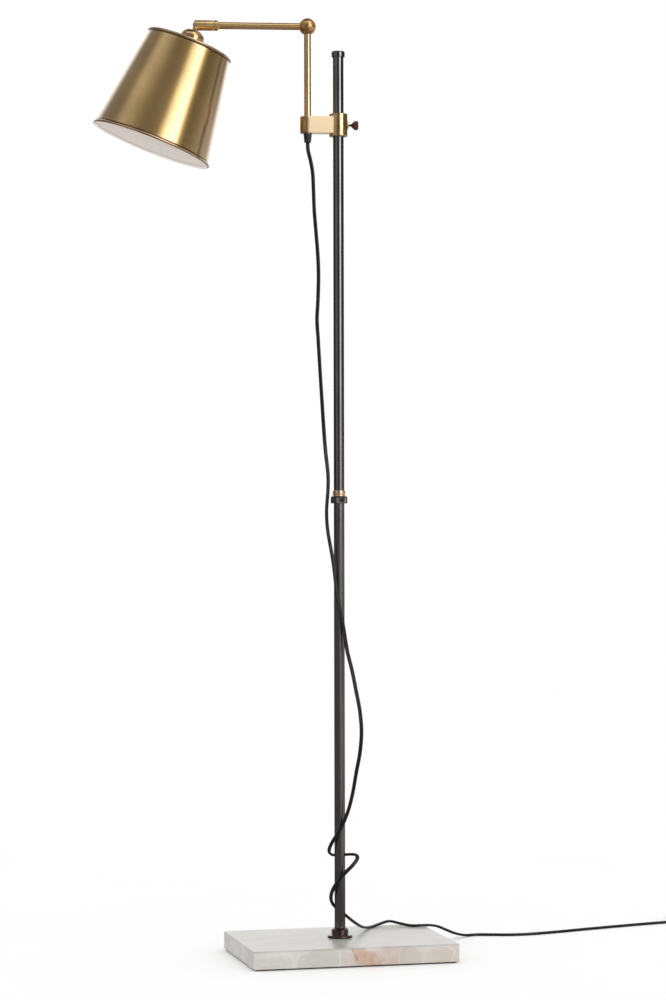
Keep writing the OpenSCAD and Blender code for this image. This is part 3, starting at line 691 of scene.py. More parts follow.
line, cord_len = smooth_line(ROUTE + coil_points() + TAIL, 2.5)
for _ in range(3):   # take the last small kinks out, with the ends held
    line[1:-1] = line[1:-1] * 0.5 + (line[:-2] + line[2:]) * 0.25
low = np.where((np.abs(line[:, 0]) < 172) & (line[:, 1] < 117) & (line[:, 1] > -117), 32 + 2.2, 2.2)
line[:, 2] = np.maximum(line[:, 2], low)
cord_len = float(np.linalg.norm(np.diff(line, axis=0), axis=1).sum())


def flex_frames(pts):
    """A thin direction for each point: facing the viewer as it hangs, slowly twisting, and upright where the flex lies."""
    T = np.gradient(pts, axis=0)
    T /= np.linalg.norm(T, axis=1)[:, None]
    n = np.array([-V.x, -V.y, 0.0])
    n -= n.dot(T[0]) * T[0]
    n /= np.linalg.norm(n)
    N = [n]
    for i in range(1, len(pts)):
        n = N[-1] - N[-1].dot(T[i]) * T[i]
        N.append(n / np.linalg.norm(n))
    N = np.array(N)
    B = np.cross(T, N)
    s = np.r_[0, np.cumsum(np.linalg.norm(np.diff(pts, axis=0), axis=1))]
    upv = np.array([0, 0, 1.0]) - T[:, 2:3] * T
    ln = np.linalg.norm(upv, axis=1)
    want = np.unwrap(2 * np.arctan2((upv * B).sum(1), (upv * N).sum(1))) / 2
    lies = ln > 0.5
    first = int(np.argmax(pts[:, 2] < 62))
    ang = np.zeros(len(pts))
    target = want[first]
    target = (target + math.pi / 2) % math.pi - math.pi / 2
    shift = target - want[first]
    for i in range(len(pts)):
        if i >= first:
            ang[i] = want[i] + shift
        else:
            u = i / first
            w = ease(s[i], s[first] - 620, s[first])
            ang[i] = target * w + (1 - w) * (0.55 * math.sin(s[i] / 150.0) + 0.35 * math.sin(s[i] / 61.0 + 1.0)) * ease(s[i], 0, 120)
    c, d = np.cos(ang)[:, None], np.sin(ang)[:, None]
    return N * c + B * d, T


def flex_section():
    """Two cores side by side, 6.5 by 4.3 mm, with the shallow grooves between them."""
    out = []
    for k in range(28):
        a = 2 * math.pi * k / 28
        c, s = math.cos(a), math.sin(a)
        # two circles of radius 2.15, 1.1 either side of the middle
        ex = 1.1 * (1 if c >= 0 else -1)
        # ray from the middle to the circle round (ex, 0)
        bq = c * ex
        q = bq * bq - (ex * ex - 2.15 * 2.15)
        r = bq + math.sqrt(max(q, 0))
        x, y = r * c, r * s
        if abs(x) < 0.5:
            y = math.copysign(1.88, y)
        out.append((x, y))
    return out


SECTION = flex_section()
thin, tang = flex_frames(line)
wide = np.cross(tang, thin)


def flex(name, i0, i1):
    secs = []
    for i in range(i0, i1 + 1):
        p = line[i]
        secs.append([tuple(p + wide[i] * a + thin[i] * b) for a, b in SECTION])
    ob = loft(name, secs, sharp=0)
    ob.data.shade_smooth()
    ob.data.materials.append(flex_mat)
    return ob


split = int(np.argmax(line[:, 2] < 1250))
flex_top = flex("flex_top", 0, split)
flex_run = flex("flex_run", split, len(line) - 1)
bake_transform(flex_top)
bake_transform(flex_run)
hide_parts("cord")
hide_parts("cord", "cord_coil", "cord_tail")

# the tie on the coil: a flat band round both layers, with its free end
TIE_A = math.radians(159)


def coil_tie():
    secs = []
    lo_r, hi_r, lo_z, hi_z = 25.5, 40.5, 0.02, 10.45
    ring = []
    rr = 1.9
    for cx, cz, a0 in ((hi_r - rr, hi_z - rr, 0), (lo_r + rr, hi_z - rr, 90), (lo_r + rr, lo_z + rr, 180), (hi_r - rr, lo_z + rr, 270)):
        for k in range(5):
            a = math.radians(a0 + 90 * k / 4)
            ring.append((cx, cz, math.cos(a), math.sin(a)))
    tans = Vector((-math.sin(TIE_A), math.cos(TIE_A), 0))
    rad = Vector((math.cos(TIE_A), math.sin(TIE_A), 0))
    cen = Vector((COIL_C[0], COIL_C[1], 0))
    verts, faces = [], []
    n = len(ring)
    across = [(-4.6, 0.85), (-4.9, 0.45), (-4.6, 0.0), (4.6, 0.0), (4.9, 0.45), (4.6, 0.85)]
    order = [(0, -4.6), (0.0, 4.6)]
    prof = [(rr, -4.4), (rr, 4.4), (rr - 0.2, 4.8), (rr - 0.7, 4.8), (rr - 0.9, 4.4), (rr - 0.9, -4.4), (rr - 0.7, -4.8), (rr - 0.2, -4.8)]
    for cx, cz, c, s in ring:
        for o, w in prof:
            p = cen + rad * (cx + o * c) + UP * (cz + o * s) + tans * w
            verts.append((p.x * MM, p.y * MM, p.z * MM))
    m = len(prof)
    for i in range(n):
        for k in range(m):
            a, b2 = i * m + k, i * m + (k + 1) % m
            c2, d2 = ((i + 1) % n) * m + (k + 1) % m, ((i + 1) % n) * m + k
            faces.append((a, b2, c2, d2))
    band = make("tie_band", verts, faces, M_ID, 30)
    # the free end, lapped over the top
    pts = [(28.0, 10.0), (31.5, 10.3), (35.0, 10.42), (38.0, 10.3), (39.4, 9.6)]
    secs = []
    for r, z in pts:
        w = 4.6 if r > 29 else 3.4
        secs.append([tuple(cen + rad * r + UP * (z + dz) + tans * ww) for ww, dz in
                     ((-w, -0.35), (-w - 0.2, 0.0), (-w, 0.35), (w, 0.35), (w + 0.2, 0.0), (w, -0.35))])
    lap = loft("tie_lap", secs, M_ID, 30)
    return join("coil_tie_band", [band, lap])


tie = piece(coil_tie(), "stand", tie_mat, ["coil_tie"])

# the plug
M_PLUG = frame_of((0.757, 0.303, 0.0065), UP, (math.cos(math.radians(20)), math.sin(math.radians(20)), 0))


def plug_section(y, w, h, e=3.2, n=32):
    out = []
    for k in range(n):
        a = 2 * math.pi * k / n
        c, s = math.cos(a), math.sin(a)
        out.append((w * math.copysign(abs(c) ** (2 / e), c), y, h * math.copysign(abs(s) ** (2 / e), s)))
    return out


def plug_body():
    secs = [plug_section(0.0, 3.5, 2.6, 2.2), plug_section(0.35, 3.9, 3.0, 2.2)]
    for k in range(4):      # ribs of the strain relief
        y = 0.6 + k * 2.2
        w, h = 4.0 + 0.45 * k, 3.2 + 0.5 * k
        secs += [plug_section(y, w, h, 2.2), plug_section(y + 1.1, w, h, 2.2), plug_section(y + 1.25, w - 0.6, h - 0.6, 2.2),
                 plug_section(y + 2.0, w - 0.5, h - 0.5, 2.2), plug_section(y + 2.15, w + 0.4, h + 0.4, 2.3)]
    secs += [plug_section(9.8, 6.2, 5.4, 2.6), plug_section(11.5, 8.6, 5.9, 3.0), plug_section(13.2, 10.9, 6.2, 3.4),
             plug_section(14.6, 11.8, 6.4, 4.0), plug_section(16.0, 11.95, 6.45, 4.6)]
    for k in range(4):      # finger grooves
        y = 17.2 + k * 1.9
        secs += [plug_section(y, 11.95, 6.45, 4.6), plug_section(y + 0.35, 11.4, 6.1, 4.6), plug_section(y + 1.0, 11.4, 6.1, 4.6),
                 plug_section(y + 1.35, 11.95, 6.45, 4.6)]
    secs += [plug_section(25.6, 11.95, 6.45, 5.0), plug_section(29.2, 11.9, 6.4, 5.0), plug_section(29.8, 11.6, 6.1, 5.0), plug_section(30.0, 11.0, 5.6, 5.0)]
    return loft("plug_moulding", secs, M_PLUG, 32)


def plug_blade(x):
    out = []
    for zz, yy in ((-3.15, 29.0), (-3.15, 44.4), (-2.2, 46.1), (-1.2, 46.5), (1.2, 46.5), (2.2, 46.1), (3.15, 44.4), (3.15, 29.0)):
        out.append((zz, yy))
    # the outline is in (z, y) of the plug; its thickness is across x
    M = M_PLUG @ Matrix(((0, 0, 1, x * MM), (0, 1, 0, 0), (-1, 0, 0, 0), (0, 0, 0, 1)))
    ob = prism("plug_blade", out, -0.75, 0.75, 0.25, M, 2)
    hole = cylinder("hole", 1.55, -2, 2, M @ Matrix.Translation((0, 0.0405, 0)), 32)
    return boolean(ob, hole, "DIFFERENCE")


plug = piece(plug_body(), "stand", plug_mat, ["plug_body"])
blades = piece(join("plug_blade_pair", [plug_blade(-6.35), plug_blade(6.35)]), "stand", bush_mat, ["plug_blades"])

# ----------------------------------------------------------------- stand ----

flange = lathe("foot_flange", [(10.2, 32.0), (20.6, 32.0), (21.0, 32.5, 0.3), (21.0, 35.2, 1.0), (19.8, 36.5, 0.5), (15.6, 36.5, 0.9),
                               (14.25, 37.6, 0.5), (14.25, 46.1, 0.3), (10.5, 48.4, 0.3), (10.1, 48.4), (10.1, 45.0)], n=128)
piece(flange, "stand", foot_mat, ["base_flange"])


def post_tube(name, z0, z1, node):
    zs = [z0 + (z1 - z0) * k / 12 for k in range(13)]
    prof = [(8.0, z0), (8.6, z0), (9.0, z0 + 0.4)] + [(9.0, z) for z in zs[1:-1]] + [(9.0, z1 - 0.4), (8.6, z1), (8.0, z1)]
    return piece(lathe(name, prof, n=96, closed=True), "stand", post_mat, [node])


b0, b1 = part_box("lower_post")
post_tube("post_lower_tube", b0.z / MM, b1.z / MM, "lower_post")
b0, b1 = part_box("upper_post")
post_tube("post_upper_tube", b0.z / MM, b1.z / MM, "upper_post")


n_k = 60


def lathe_mod(name, prof, M, n, mod, closed=False):
    return lathe(name, prof, M, n, closed, 30, mod)


def collar_mod(t, r, z):
    if r < 13.9:
        return r, z
    k = ease(z, 766.2, 767.2) * (1 - ease(z, 775.0, 776.0))
    w = abs(((t * n_k / (2 * math.pi)) % 1.0) * 2 - 1)
    return r - 0.42 * k * (1 - w), z


kprof = [(9.1, 765.2), (13.2, 765.2), (13.9, 765.9), (14.15, 766.25)] + [(14.15, 766.7 + 0.4 * k) for k in range(20)] \
    + [(14.15, 774.9), (14.15, 775.4), (14.15, 775.95), (13.9, 776.3), (13.2, 777.0), (9.1, 777.0)]
piece(lathe_mod("joint_knurl", kprof, M_ID, n_k * 8, collar_mod, True), "stand", black_mat, ["joint_collar"])

ringp = [(9.1, 777.05), (10.6, 777.05, 0.2), (11.1, 777.6, 0.2), (11.1, 779.0, 0.15), (10.75, 779.4, 0.15), (10.75, 779.9, 0.15), (11.1, 780.3, 0.15),
         (11.1, 786.4, 0.3), (10.3, 787.3, 0.3), (9.1, 787.3)]
piece(lathe("joint_brass_ring", ringp, n=128, closed=True), "stand", brass_ring, ["joint_ring"])

capp = [(0, 1519.6), (8.6, 1519.6), (9.05, 1519.05), (10.7, 1519.05, 0.2), (11.15, 1519.6, 0.2), (11.15, 1526.6, 0.5), (10.9, 1527.6, 0.6), (10.1, 1528.9, 0.9),
        (8.0, 1529.0, 0.4), (7.2, 1528.7, 0.3), (0, 1528.7)]
piece(lathe("post_cap", capp, n=128), "stand", black_mat, ["top_cap"])

# ----------------------------------------------------------------- clamp ----

CR, CZ0, CZ1 = 16.0, 1384.75, 1423.25
collar = lathe("clamp_collar", [(10.55, CZ0 + 2), (9.5, CZ0 + 2), (9.5, CZ0 + 0.3, 0.2), (9.9, CZ0, 0.1), (15.1, CZ0, 0.3), (16.0, CZ0 + 0.9, 0.3),
                                (16.0, CZ1 - 0.9, 0.3), (15.1, CZ1, 0.3), (9.9, CZ1, 0.1), (9.5, CZ1 - 0.3, 0.2), (9.5, CZ1 - 2), (10.55, CZ1 - 2)],
               M_CLAMP, n=144, closed=True)
arc = [(-52 + 13 * math.cos(math.radians(a)), 13 * math.sin(math.radians(a))) for a in range(90, 271, 5)]
inner = [(-7.6, -13)] + [(12.4 * math.cos(math.radians(a)), 12.4 * math.sin(math.radians(a))) for a in range(242, 117, -4)] + [(-7.6, 13)]
bar = prism("clamp_bar", arc + inner, 1390, 1418, 0.9, M_CLAMP, 3)
cut = lathe("cut", [(0, 1388), (7.0, 1388), (7.0, 1411), (9.0, 1411), (9.0, 1417.3), (9.8, 1418.2), (9.8, 1420), (0, 1420)], M_RISER, 96)
boolean(bar, cut, "DIFFERENCE", sharp=30)
screw_hole = cylinder("hole", 2.05, 9, 18, M_SCREW, 32)
boolean(collar, screw_hole, "DIFFERENCE", sharp=30)
collar.name = "clamp_ring"
bar.name = "clamp_arm_bar"
piece(collar, "clamp", brass_collar, ["clamp_bracket"])
piece(bar, "clamp", brass_bar, ["clamp_bracket"])

boss = lathe("thumbscrew_boss", [(2.1, 13.9), (6.2, 13.9), (6.75, 14.4), (6.75, 16.5, 0.5), (6.2, 17.1, 0.4), (3.0, 17.1, 0.2), (2.1, 16.7)], M_SCREW, 96, closed=True)
piece(boss, "clamp", brass_arm_painted_lighter, ["screw_boss"])

# thumbscrew with its thread


def thread(r_in, r_out, pitch, phase=0.0):
    def mod(t, r, z):
        if r < r_in - 0.01:
            return r, z
        w = abs(((z / pitch - t / (2 * math.pi) + phase) % 1.0) * 2 - 1)
        return r_in + (r_out - r_in) * w, z
    return mod


TH0, TH1 = 13.85, 29.9
zs = np.arange(TH0, 21.0, 0.7 / 8)
prof = [(0, TH0 - 0.0)] + [(1.99, float(z)) for z in zs] + [(1.7, 21.2), (1.7, 22.0), (1.98, 22.2), (1.98, TH1), (0, TH1)]


def shank_mod(t, r, z):
    if r > 1.98 and z <= 21.0:
        return thread(1.62, 1.99, 0.7)(t, r, z)
    return r, z


shank = lathe("thumbscrew_shank", prof, M_SCREW, 40, mod=shank_mod, sharp=50)
piece(shank, "screw", shank_mat, ["thumb_screw"])


def knob_mod(t, r, z):
    if r < 7.3:
        return r, z
    k = ease(z, 27.6, 28.4) * (1 - ease(z, 31.2, 32.0))
    w = 0.5 - 0.5 * math.cos(t * 22)
    return r - 0.75 * k * w - 0.10, z


kp = [(2.02, 21.6), (2.7, 21.6, 0.2), (3.2, 22.8, 0.6), (6.4, 26.1, 0.6), (7.6, 27.2), (7.95, 27.8), (7.95, 28.3), (7.95, 29.0), (7.95, 29.8), (7.95, 30.6),
      (7.95, 31.3), (7.95, 31.8), (7.5, 32.6), (6.7, 33.6, 0.4), (4.2, 33.6, 0.3), (3.6, 33.2, 0.3), (0, 33.2)]
piece(lathe("thumbscrew_knob", kp, M_SCREW, 22 * 12, mod=knob_mod, sharp=40), "screw", knob_mat, ["thumb_knob"])

# ------------------------------------------------------------------- arm ----

riser_p = [(5.0, 1379.1), (6.0, 1379.1)] + [(6.0, 1379.1 + (1562.5 - 1379.1) * k / 8) for k in range(1, 8)] + [(6.0, 1562.5), (5.0, 1562.5)]
piece(lathe("arm_upright", riser_p, M_RISER, 96, closed=True), "arm", brass_z, ["arm_riser"])

setc = [(6.0, 1412.0), (8.5, 1412.0, 0.3), (8.5, 1417.4, 0.6), (6.0, 1417.4)]
piece(lathe("upright_collar", setc, M_RISER, 96, closed=True), "arm", brass_z, ["riser_collar"])

gz = 1374.2
glp = [(2.45, gz), (5.4, gz, 0.3), (6.0, gz + 0.5, 0.4), (6.25, gz + 3.4, 0.15), (5.85, gz + 3.75, 0.12), (5.9, gz + 4.25, 0.12), (6.4, gz + 4.6, 0.15),
       (7.05, gz + 12.6, 0.3), (7.3, gz + 13.2, 0.3), (7.3, gz + 15.2, 0.4), (6.0, gz + 15.4), (6.0, gz + 4.9), (2.45, gz + 4.9)]
piece(lathe("cable_gland", glp, M_RISER, 96, closed=True), "arm", gland_mat, ["strain_relief"])


def ball():
    n = 48
    prof = [(14.5 * math.sin(math.pi * k / n), ARM_Z - 14.5 * math.cos(math.pi * k / n)) for k in range(n + 1)]
    prof = [p for p in prof if p[0] > 6.05 or p[1] > ARM_Z]
    prof[0] = (6.0, ARM_Z - 13.2)
    prof = [(0, ARM_Z - 8)] + [(6.0, ARM_Z - 8)] + prof
    prof[-1] = (0.0, ARM_Z + 14.5)
    ob = lathe("ball", prof, M_RISER, 96, sharp=40)
    hole = cylinder("hole", 6.0, 8.0, 20.0, M_ARM, 96)
    return boolean(ob, hole, "DIFFERENCE", sharp=40)


piece(ball(), "arm", brass_ball, ["ball_elbow"])
for nm, z0, z1 in (("arm_level", 7.9, 155.0),):
    tp = [(5.0, z0), (6.0, z0)] + [(6.0, z0 + (z1 - z0) * k / 8) for k in range(1, 8)] + [(6.0, z1), (5.0, z1)]
    piece(lathe("arm_level_tube", tp, M_ARM, 96, closed=True), "arm", brass_arm_painted_lighter, ["arm_tube"])

cp = [(6.0, 150.3), (7.2, 150.3, 0.15), (8.9, 151.95, 0.3), (8.9, 158.3, 0.3), (8.5, 158.7), (5.0, 158.7), (5.0, 155.0), (6.0, 155.0)]
piece(lathe("arm_end_collar", cp, M_ARM, 96, closed=True), "arm", brass_arm_painted_lighter, ["swivel_collar"])


def sleeve():
    ob = lathe("sleeve", [(0, 159.1), (8.4, 159.1), (8.9, 159.5, 0.2), (8.9, 190.6, 0.5), (8.2, 191.4, 0.3), (0, 191.4)], M_ARM, 96)
    bore = lathe("bore", [(0, 158), (5.05, 158), (5.05, 170.1), (7.2, 170.1), (7.2, 177.9), (0, 177.9)], M_ARM, 64)
    boolean(ob, bore, "DIFFERENCE")
    slot = box_mesh("slot", (-10.0, -2.8, -12), (8.2, 2.8, 12), M_PIVOT)
    boolean(ob, slot, "DIFFERENCE")
    hole = cylinder("hole", 2.0, -14, 14, M_PIVOT @ Matrix.Rotation(math.radians(90), 4, "X"), 40)
    boolean(ob, hole, "DIFFERENCE")
    # the cheeks are rounded below the pivot
    out = [(0, -12), (-12, -12), (-12, 0), (-8.8, 0)] + [(-8.8 * math.cos(math.radians(a)), -8.8 * math.sin(math.radians(a))) for a in range(6, 90, 6)] + [(0, -8.8)]
    verts, faces = [], []
    n = len(out)
    for yy in (-12, 12):
        for x, z in out:
            verts.append((x * MM, yy * MM, z * MM))
    for i in range(n):
        j = (i + 1) % n
        faces.append((i, j, n + j, n + i))
    faces.append(tuple(range(n)))
    faces.append(tuple(range(n, 2 * n))[::-1])
    cutter = make("cutter", verts, faces, M_PIVOT, 35)
    boolean(ob, cutter, "DIFFERENCE")
    ob.name = "swivel_fork"
    return ob


piece(sleeve(), "head", brass_arm_painted_lighter, ["swivel_sleeve"])
M_PIN = M_PIVOT @ Matrix.Rotation(math.radians(90), 4, "X")
piece(lathe("pivot_pin", [(0, -8.4), (1.5, -8.4, 0.2), (2.0, -7.95, 0.2), (2.0, 7.95, 0.2), (1.5, 8.4, 0.2), (0, 8.4)], M_PIN, 48), "head", steel_mat, ["tilt_pin"])

# ----------------------------------------------------------------- shade ----

CT = -9.8
tongue = [(-5, -10.3), (5, -10.3), (5, -5.72)] + [(7.6 * math.cos(math.radians(a)), 7.6 * math.sin(math.radians(a))) for a in range(-44, 225, 6)] + [(-5, -5.72)]
M_TONGUE = M_SHADE @ Matrix(((1, 0, 0, 0), (0, 0, -1, 0), (0, 1, 0, 0), (0, 0, 0, 1)))
tg = prism("tongue", tongue, -2.5, 2.5, 0.45, M_TONGUE, 3)
pinhole = cylinder("hole", 2.05, -4, 4, M_TONGUE, 40)
boolean(tg, pinhole, "DIFFERENCE")
spigot = lathe("spigot", [(5.0, CT - 3.2), (0, CT - 3.2), (0, CT - 0.6), (0.0, CT), (6.2, CT, 0.2), (6.5, CT - 0.3), (6.5, CT - 12), (5.0, CT - 12)], M_SHADE, 64)
piece(join("shade_tongue", [tg, spigot]), "shade", nickel_mat, ["knuckle"])

arc_o = [(6 + 14.5 * math.sin(math.radians(a)), CT - 12.6 + 12.6 * math.cos(math.radians(a))) for a in range(3, 91, 3)]
arc_i = [(6 + 13.1 * math.sin(math.radians(a)), CT - 12.6 + 11.2 * math.cos(math.radians(a))) for a in range(90, 2, -3)]
cup_p = [(6.5, CT - 1.4), (6.5, CT)] + [p for p in arc_o if p[0] > 6.6] + [(21.45, -38.1), (21.6, -38.9), (21.6, -39.2), (20.3, -39.2)] + [p for p in arc_i if p[0] > 6.6]
piece(lathe("socket_dome", cup_p, M_SHADE, 128, closed=True), "shade", brass_cup, ["socket_cup"])

RT, RB, ZT, ZB = 73.2, 102.4, -37.0, -215.0
SL = (RB - RT) / (ZT - ZB)


def wall_r(z):
    return RT + (ZT - z) * SL


def bead(rc, zc, r, a0, a1, n):
    return [(rc + r * math.cos(math.radians(a0 + (a1 - a0) * k / n)), zc + r * math.sin(math.radians(a0 + (a1 - a0) * k / n))) for k in range(n + 1)]


# painted shade: a dark brown band on the outer wall just under each rolled rim, where the crease is in shade
crease_shade_mat = brushed_metal("crease_painted_shade", (92, 66, 40), (60, 42, 26), (0.3, 0.4), brush=(30, 30, 200), spots=0.5, frame_m=M_SHADE, depth=0.000001, coat=0.3)


def shade_shell():
    """Outer face, rolled rims and inner face as one closed skin; the inner face has the white enamel."""
    top = bead(RT, ZT, 2.2, 232, -68, 16)          # from the inner face over the top to the outer face
    outer = [(wall_r(z), z) for z in [ZT - 2.5, ZT - 4.0] + list(np.linspace(ZT - 6.0, ZB + 6.0, 24)) + [ZB + 4.0, ZB + 2.5]]
    bot = bead(RB, ZB, 2.2, 62, -232, 16)
    inner = [(wall_r(z) - 1.0, z) for z in np.linspace(ZB + 2.5, ZT - 2.5, 26)]
    prof = top + outer + bot + inner
    ob = lathe("shade_skin", prof, M_SHADE, 192, closed=True, sharp=40)
    return ob


shell = shade_shell()
shell.data.materials.clear()
shell.data.materials.append(brass_shade)
shell.data.materials.append(brass_rim)
shell.data.materials.append(enamel_mat)
shell.data.materials.append(crease_shade_mat)
for f in shell.data.polygons:
    c = f.center / MM
    rad = math.hypot(c.x, c.y)
    on_bead = math.hypot(rad - RT, c.z - ZT) < 2.26 or math.hypot(rad - RB, c.z - ZB) < 2.26
    near_crease = min(abs(c.z - ZT + 3.0), abs(c.z - ZB - 3.0)) < 1.4
    if on_bead and c.z < ZB + 3 and rad < RB - 0.5:
        f.material_index = 2
    elif on_bead and abs(rad - wall_r(c.z) + 0.5) > 0.45:
        f.material_index = 1
    # the band of painted shade under each rim
    elif rad > wall_r(c.z) - 0.5 and near_crease:
        f.material_index = 3
    elif rad < wall_r(c.z) - 0.6 and c.z < -40.4:
        f.material_index = 2
    elif rad < wall_r(c.z) - 0.6:
        f.material_index = 0
turned_uv(shell)
bake(shell)
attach(shell, "shade")
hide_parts("shade_shell")


def spider():
    zt, zb = -39.2, -40.4
    ob = lathe("shade_top_plate", [(5.1, zt), (28.0, zt), (29.0, zt - 0.0), (wall_r(zt) - 0.9, zt), (wall_r(zb) - 0.9, zb), (29.0, zb), (28.0, zb), (5.1, zb)], M_SHADE, 192, closed=True)
    for k in range(8):
        a = math.radians(22.5 + 45 * k)
        h = cylinder("vent", 4.0, zb - 3, zt + 3, M_SHADE @ Matrix.Translation((0.046 * math.cos(a), 0.046 * math.sin(a), 0)), 40)
        boolean(ob, h, "DIFFERENCE")
    return ob


plate = spider()
plate.data.materials.clear()
plate.data.materials.append(brass_shade)
plate.data.materials.append(enamel_mat)
for f in plate.data.polygons:
    if f.normal.z < -0.5:
        f.material_index = 1
turned_uv(plate)
bake(plate)
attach(plate, "shade")
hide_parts("shade_shell")

# the lamp socket, its shell with the screw thread and the turn key
cap_p = [(5.0, -46.0), (14.8, -46.0, 0.8), (17.0, -47.6, 0.8), (17.5, -49.4, 0.5), (17.5, -56.4, 0.4), (17.1, -56.9, 0.2), (17.4, -57.4, 0.2), (17.4, -58.0), (16.35, -58.0), (16.35, -47.4), (5.0, -47.3)]
piece(lathe("socket_metal_cap", cap_p, M_SHADE, 128, closed=True), "shade", bush_mat, ["socket_cap"])

body_p = [(0.0, -50.2), (0, -49.0), (16.2, -49.0), (16.25, -58.4), (15.7, -58.8, 0.2), (15.7, -60.2, 0.2), (16.25, -60.7, 0.2), (16.3, -70.0)]
for z in (-72.0, -75.0, -78.0):
    body_p += [(16.3, z, 0.2), (15.8, z - 0.4, 0.2), (15.8, z - 1.2, 0.2), (16.3, z - 1.6, 0.2)]
body_p += [(16.3, -89.0, 0.5), (15.6, -90.0, 0.4), (14.6, -90.0, 0.3), (14.0, -89.5), (14.0, -66.0), (0.0, -66.0)]
body = lathe("socket_moulding", body_p, M_SHADE, 128, sharp=35)
key_hole = cylinder("hole", 2.05, 9.5, 19.0, M_SHADE @ Matrix.Translation((0, 0, -0.062)) @ Matrix.Rotation(math.radians(90), 4, "X"), 32)
boolean(body, key_hole, "DIFFERENCE")
piece(body, "shade", phenolic_mat, ["socket_body"])


zs = np.linspace(-89.3, -66.5, 64)
ed_in = [(13.25, float(z)) for z in zs]
ed_out = [(13.9, float(z)) for z in zs[::-1]]


def edison_mod(t, r, z):
    w = math.cos(2 * math.pi * (z / 3.63 - t / (2 * math.pi)))
    k = ease(z, -89.3, -88.0) * (1 - ease(z, -67.6, -66.5))
    if r < 13.5:
        return 13.42 + 0.20 * w * k, z
    return 13.72 + 0.20 * w * k, z


piece(lathe("socket_thread", ed_in + ed_out, M_SHADE, 96, closed=True, mod=edison_mod, sharp=60), "shade", nickel_mat, ["screw_shell"])

key = prism("key_paddle", rounded([(-8.2, 41.6, 3.0), (8.2, 41.6, 3.0), (8.8, 36.0, 1.5), (5.2, 29.0, 2.0), (-5.2, 29.0, 2.0), (-8.8, 36.0, 1.5)], 5), -1.55, 1.55, 0.5,
            M_SHADE @ Matrix.Translation((0, 0, -0.062)) @ Matrix(((0, 0, 1, 0), (0, -1, 0, 0), (1, 0, 0, 0), (0, 0, 0, 1))), 3)
stem = lathe("key_stem", [(0, 10.0), (2.0, 10.0), (2.0, 18.4), (1.6, 18.8), (1.6, 19.4), (2.0, 19.8), (2.0, 30.0), (0, 30.0)],
             M_SHADE @ Matrix.Translation((0, 0, -0.062)) @ Matrix.Rotation(math.radians(90), 4, "X"), 40)
piece(join("switch_turn_key", [key, stem]), "switch", bush_mat, ["switch_key"])

# ----------------------------------------------------------------- stage ----

floor_me = bpy.data.meshes.new("floor")
floor_me.from_pydata([(400 * math.cos(2 * math.pi * k / 64), 400 * math.sin(2 * math.pi * k / 64), -0.0003) for k in range(64)], [], [tuple(range(64))])
floor = bpy.data.objects.new("floor", floor_me)
sc.collection.objects.link(floor)
fm, fg, fb = principled("pale_floor")
fo = fg.obj()
fcol = fg.mix(fg.noise(fo, 3.0, 3.0, 0.5), (0.90, 0.90, 0.90, 1), (0.925, 0.925, 0.925, 1))
put(fg, fb, color=fcol, rough=0.9, spec=0.1)
floor_me.materials.append(fm)
# shiny metal sees a darker floor, so that its undersides stay dark
rays = fg.n("ShaderNodeLightPath").outputs["Is Glossy Ray"]
fsep = fg.n("ShaderNodeSeparateXYZ", {0: fg.obj()}).outputs
fright = fg.math("SUBTRACT", fg.math("MULTIPLY", fsep[0], 0.97), fg.math("MULTIPLY", fsep[1], 0.24))
fseen = fg.mix(fg.span(fright, 0.5, 1.3), (0.24, 0.235, 0.23, 1), (0.66, 0.65, 0.64, 1))
put(fg, fb, color=fg.mix(rays, fcol, fseen))

# Studio light: an even pale room for matt surfaces, and soft boxes that shiny metal mirrors.
world = bpy.data.worlds.new("studio")
sc.world = world
world.use_nodes = True
wt = world.node_tree
wt.nodes.clear()
world.cycles.sampling_method = "NONE"     # metal and matt surfaces see different rooms, so only their own rays may look
w = Nodes(wt)
d = w.n("ShaderNodeTexCoord").outputs["Generated"]


def dot(vec):
    return w.n("ShaderNodeVectorMath", {0: d, 1: tuple(vec)}, operation="DOT_PRODUCT").outputs["Value"]


da, db, dz = dot(R), dot(-V), dot(UP)          # right, towards the camera, up
flat = w.math("SQRT", w.math("ADD", w.math("MULTIPLY", da, da), w.math("MULTIPLY", db, db)))
alpha = w.math("MULTIPLY", w.math("ARCTAN2", da, db), 180 / math.pi)     # degrees right of the camera
elev = w.math("MULTIPLY", w.math("ARCTAN2", dz, flat), 180 / math.pi)


def window(v, a, b, soft):
    return w.math("MULTIPLY", w.span(v, a - soft, a + soft), w.span(v, b + soft, b - soft))


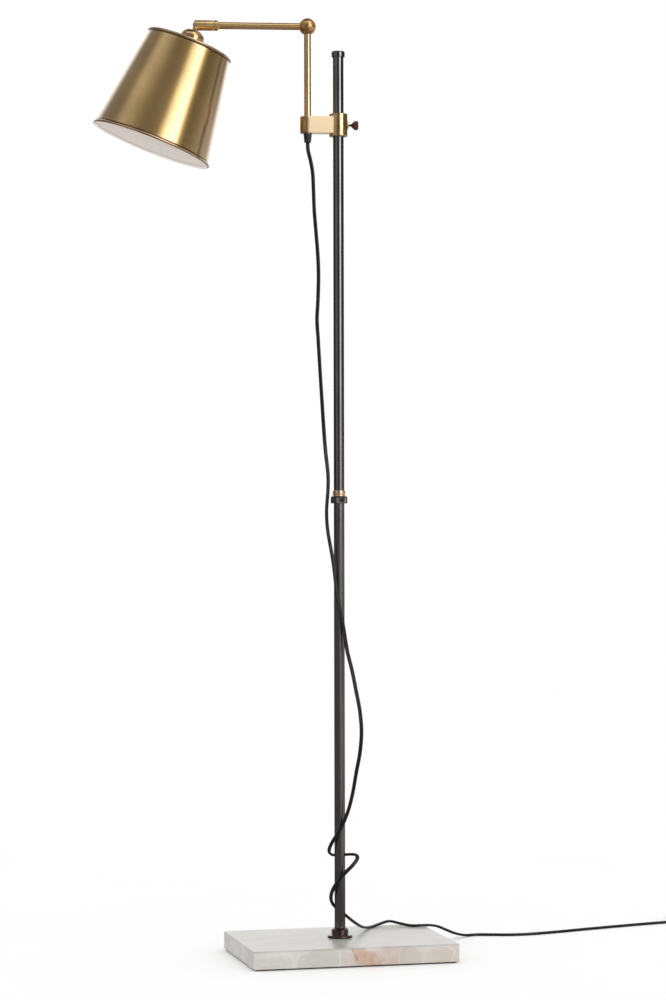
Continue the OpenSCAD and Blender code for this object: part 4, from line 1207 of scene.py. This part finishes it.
def softbox(a0, a1, e0, e1, soft_a, soft_e, level):
    return w.math("MULTIPLY", w.math("MULTIPLY", window(alpha, a0, a1, soft_a), window(elev, e0, e1, soft_e)), level)


room = 0.13
key_az = window(alpha, 24, 56, 6)
key_up = w.math("SUBTRACT", w.span(elev, -9, 9, 0.0, 5.2), w.span(elev, 13, 20, 0.0, 3.2))
key_light = w.math("MULTIPLY", w.math("MULTIPLY", key_az, key_up), w.span(elev, 78, 66))
key_hi = softbox(58, 66, 18, 70, 4, 4, 1.6)
fill = w.math("MULTIPLY", softbox(-78, -20, -40, 60, 12, 10, 0.42), w.span(elev, 12, 18, 1.0, 0.30))
fill_hi = softbox(-135, -62, 16, 60, 14, 5, 0.24)
hair = softbox(-25, 20, 14, 36, 8, 8, 0.20)
top_strip = softbox(-75, 75, 42, 74, 20, 7, 1.0)
behind = w.math("MULTIPLY", w.math("ADD", w.span(alpha, 132, 152), w.span(alpha, -128, -150)), w.span(elev, 62, 30, 0.0, 1.2))
side_r = softbox(62, 130, 16, 60, 10, 5, 0.35)
glossy = w.math("ADD", room, key_light)
low_r = softbox(66, 125, -16, 3, 8, 4, 0.20)
for s in (low_r, key_hi, fill, fill_hi, hair, top_strip, behind, side_r):
    glossy = w.math("ADD", glossy, s)
lp = w.n("ShaderNodeLightPath")
soft = w.math("ADD", 1.06, w.math("MULTIPLY", window(alpha, 0, 110, 40), 0.16))
strength = w.math("ADD", w.math("MULTIPLY", lp.outputs["Is Glossy Ray"], w.math("SUBTRACT", glossy, soft)), soft)
strength = w.math("ADD", w.math("MULTIPLY", lp.outputs["Is Camera Ray"], w.math("SUBTRACT", 1.0, strength)), strength)
cool = w.math("MULTIPLY", w.span(key_light, 0.4, 3.0), lp.outputs["Is Glossy Ray"])      # the main window is a little cool
sky = w.mix(cool, (1, 1, 1, 1), (0.98, 1.0, 1.08, 1))
bg = w.n("ShaderNodeBackground", {"Color": sky, "Strength": strength})
wo = w.n("ShaderNodeOutputWorld")
wt.links.new(bg.outputs[0], wo.inputs[0])
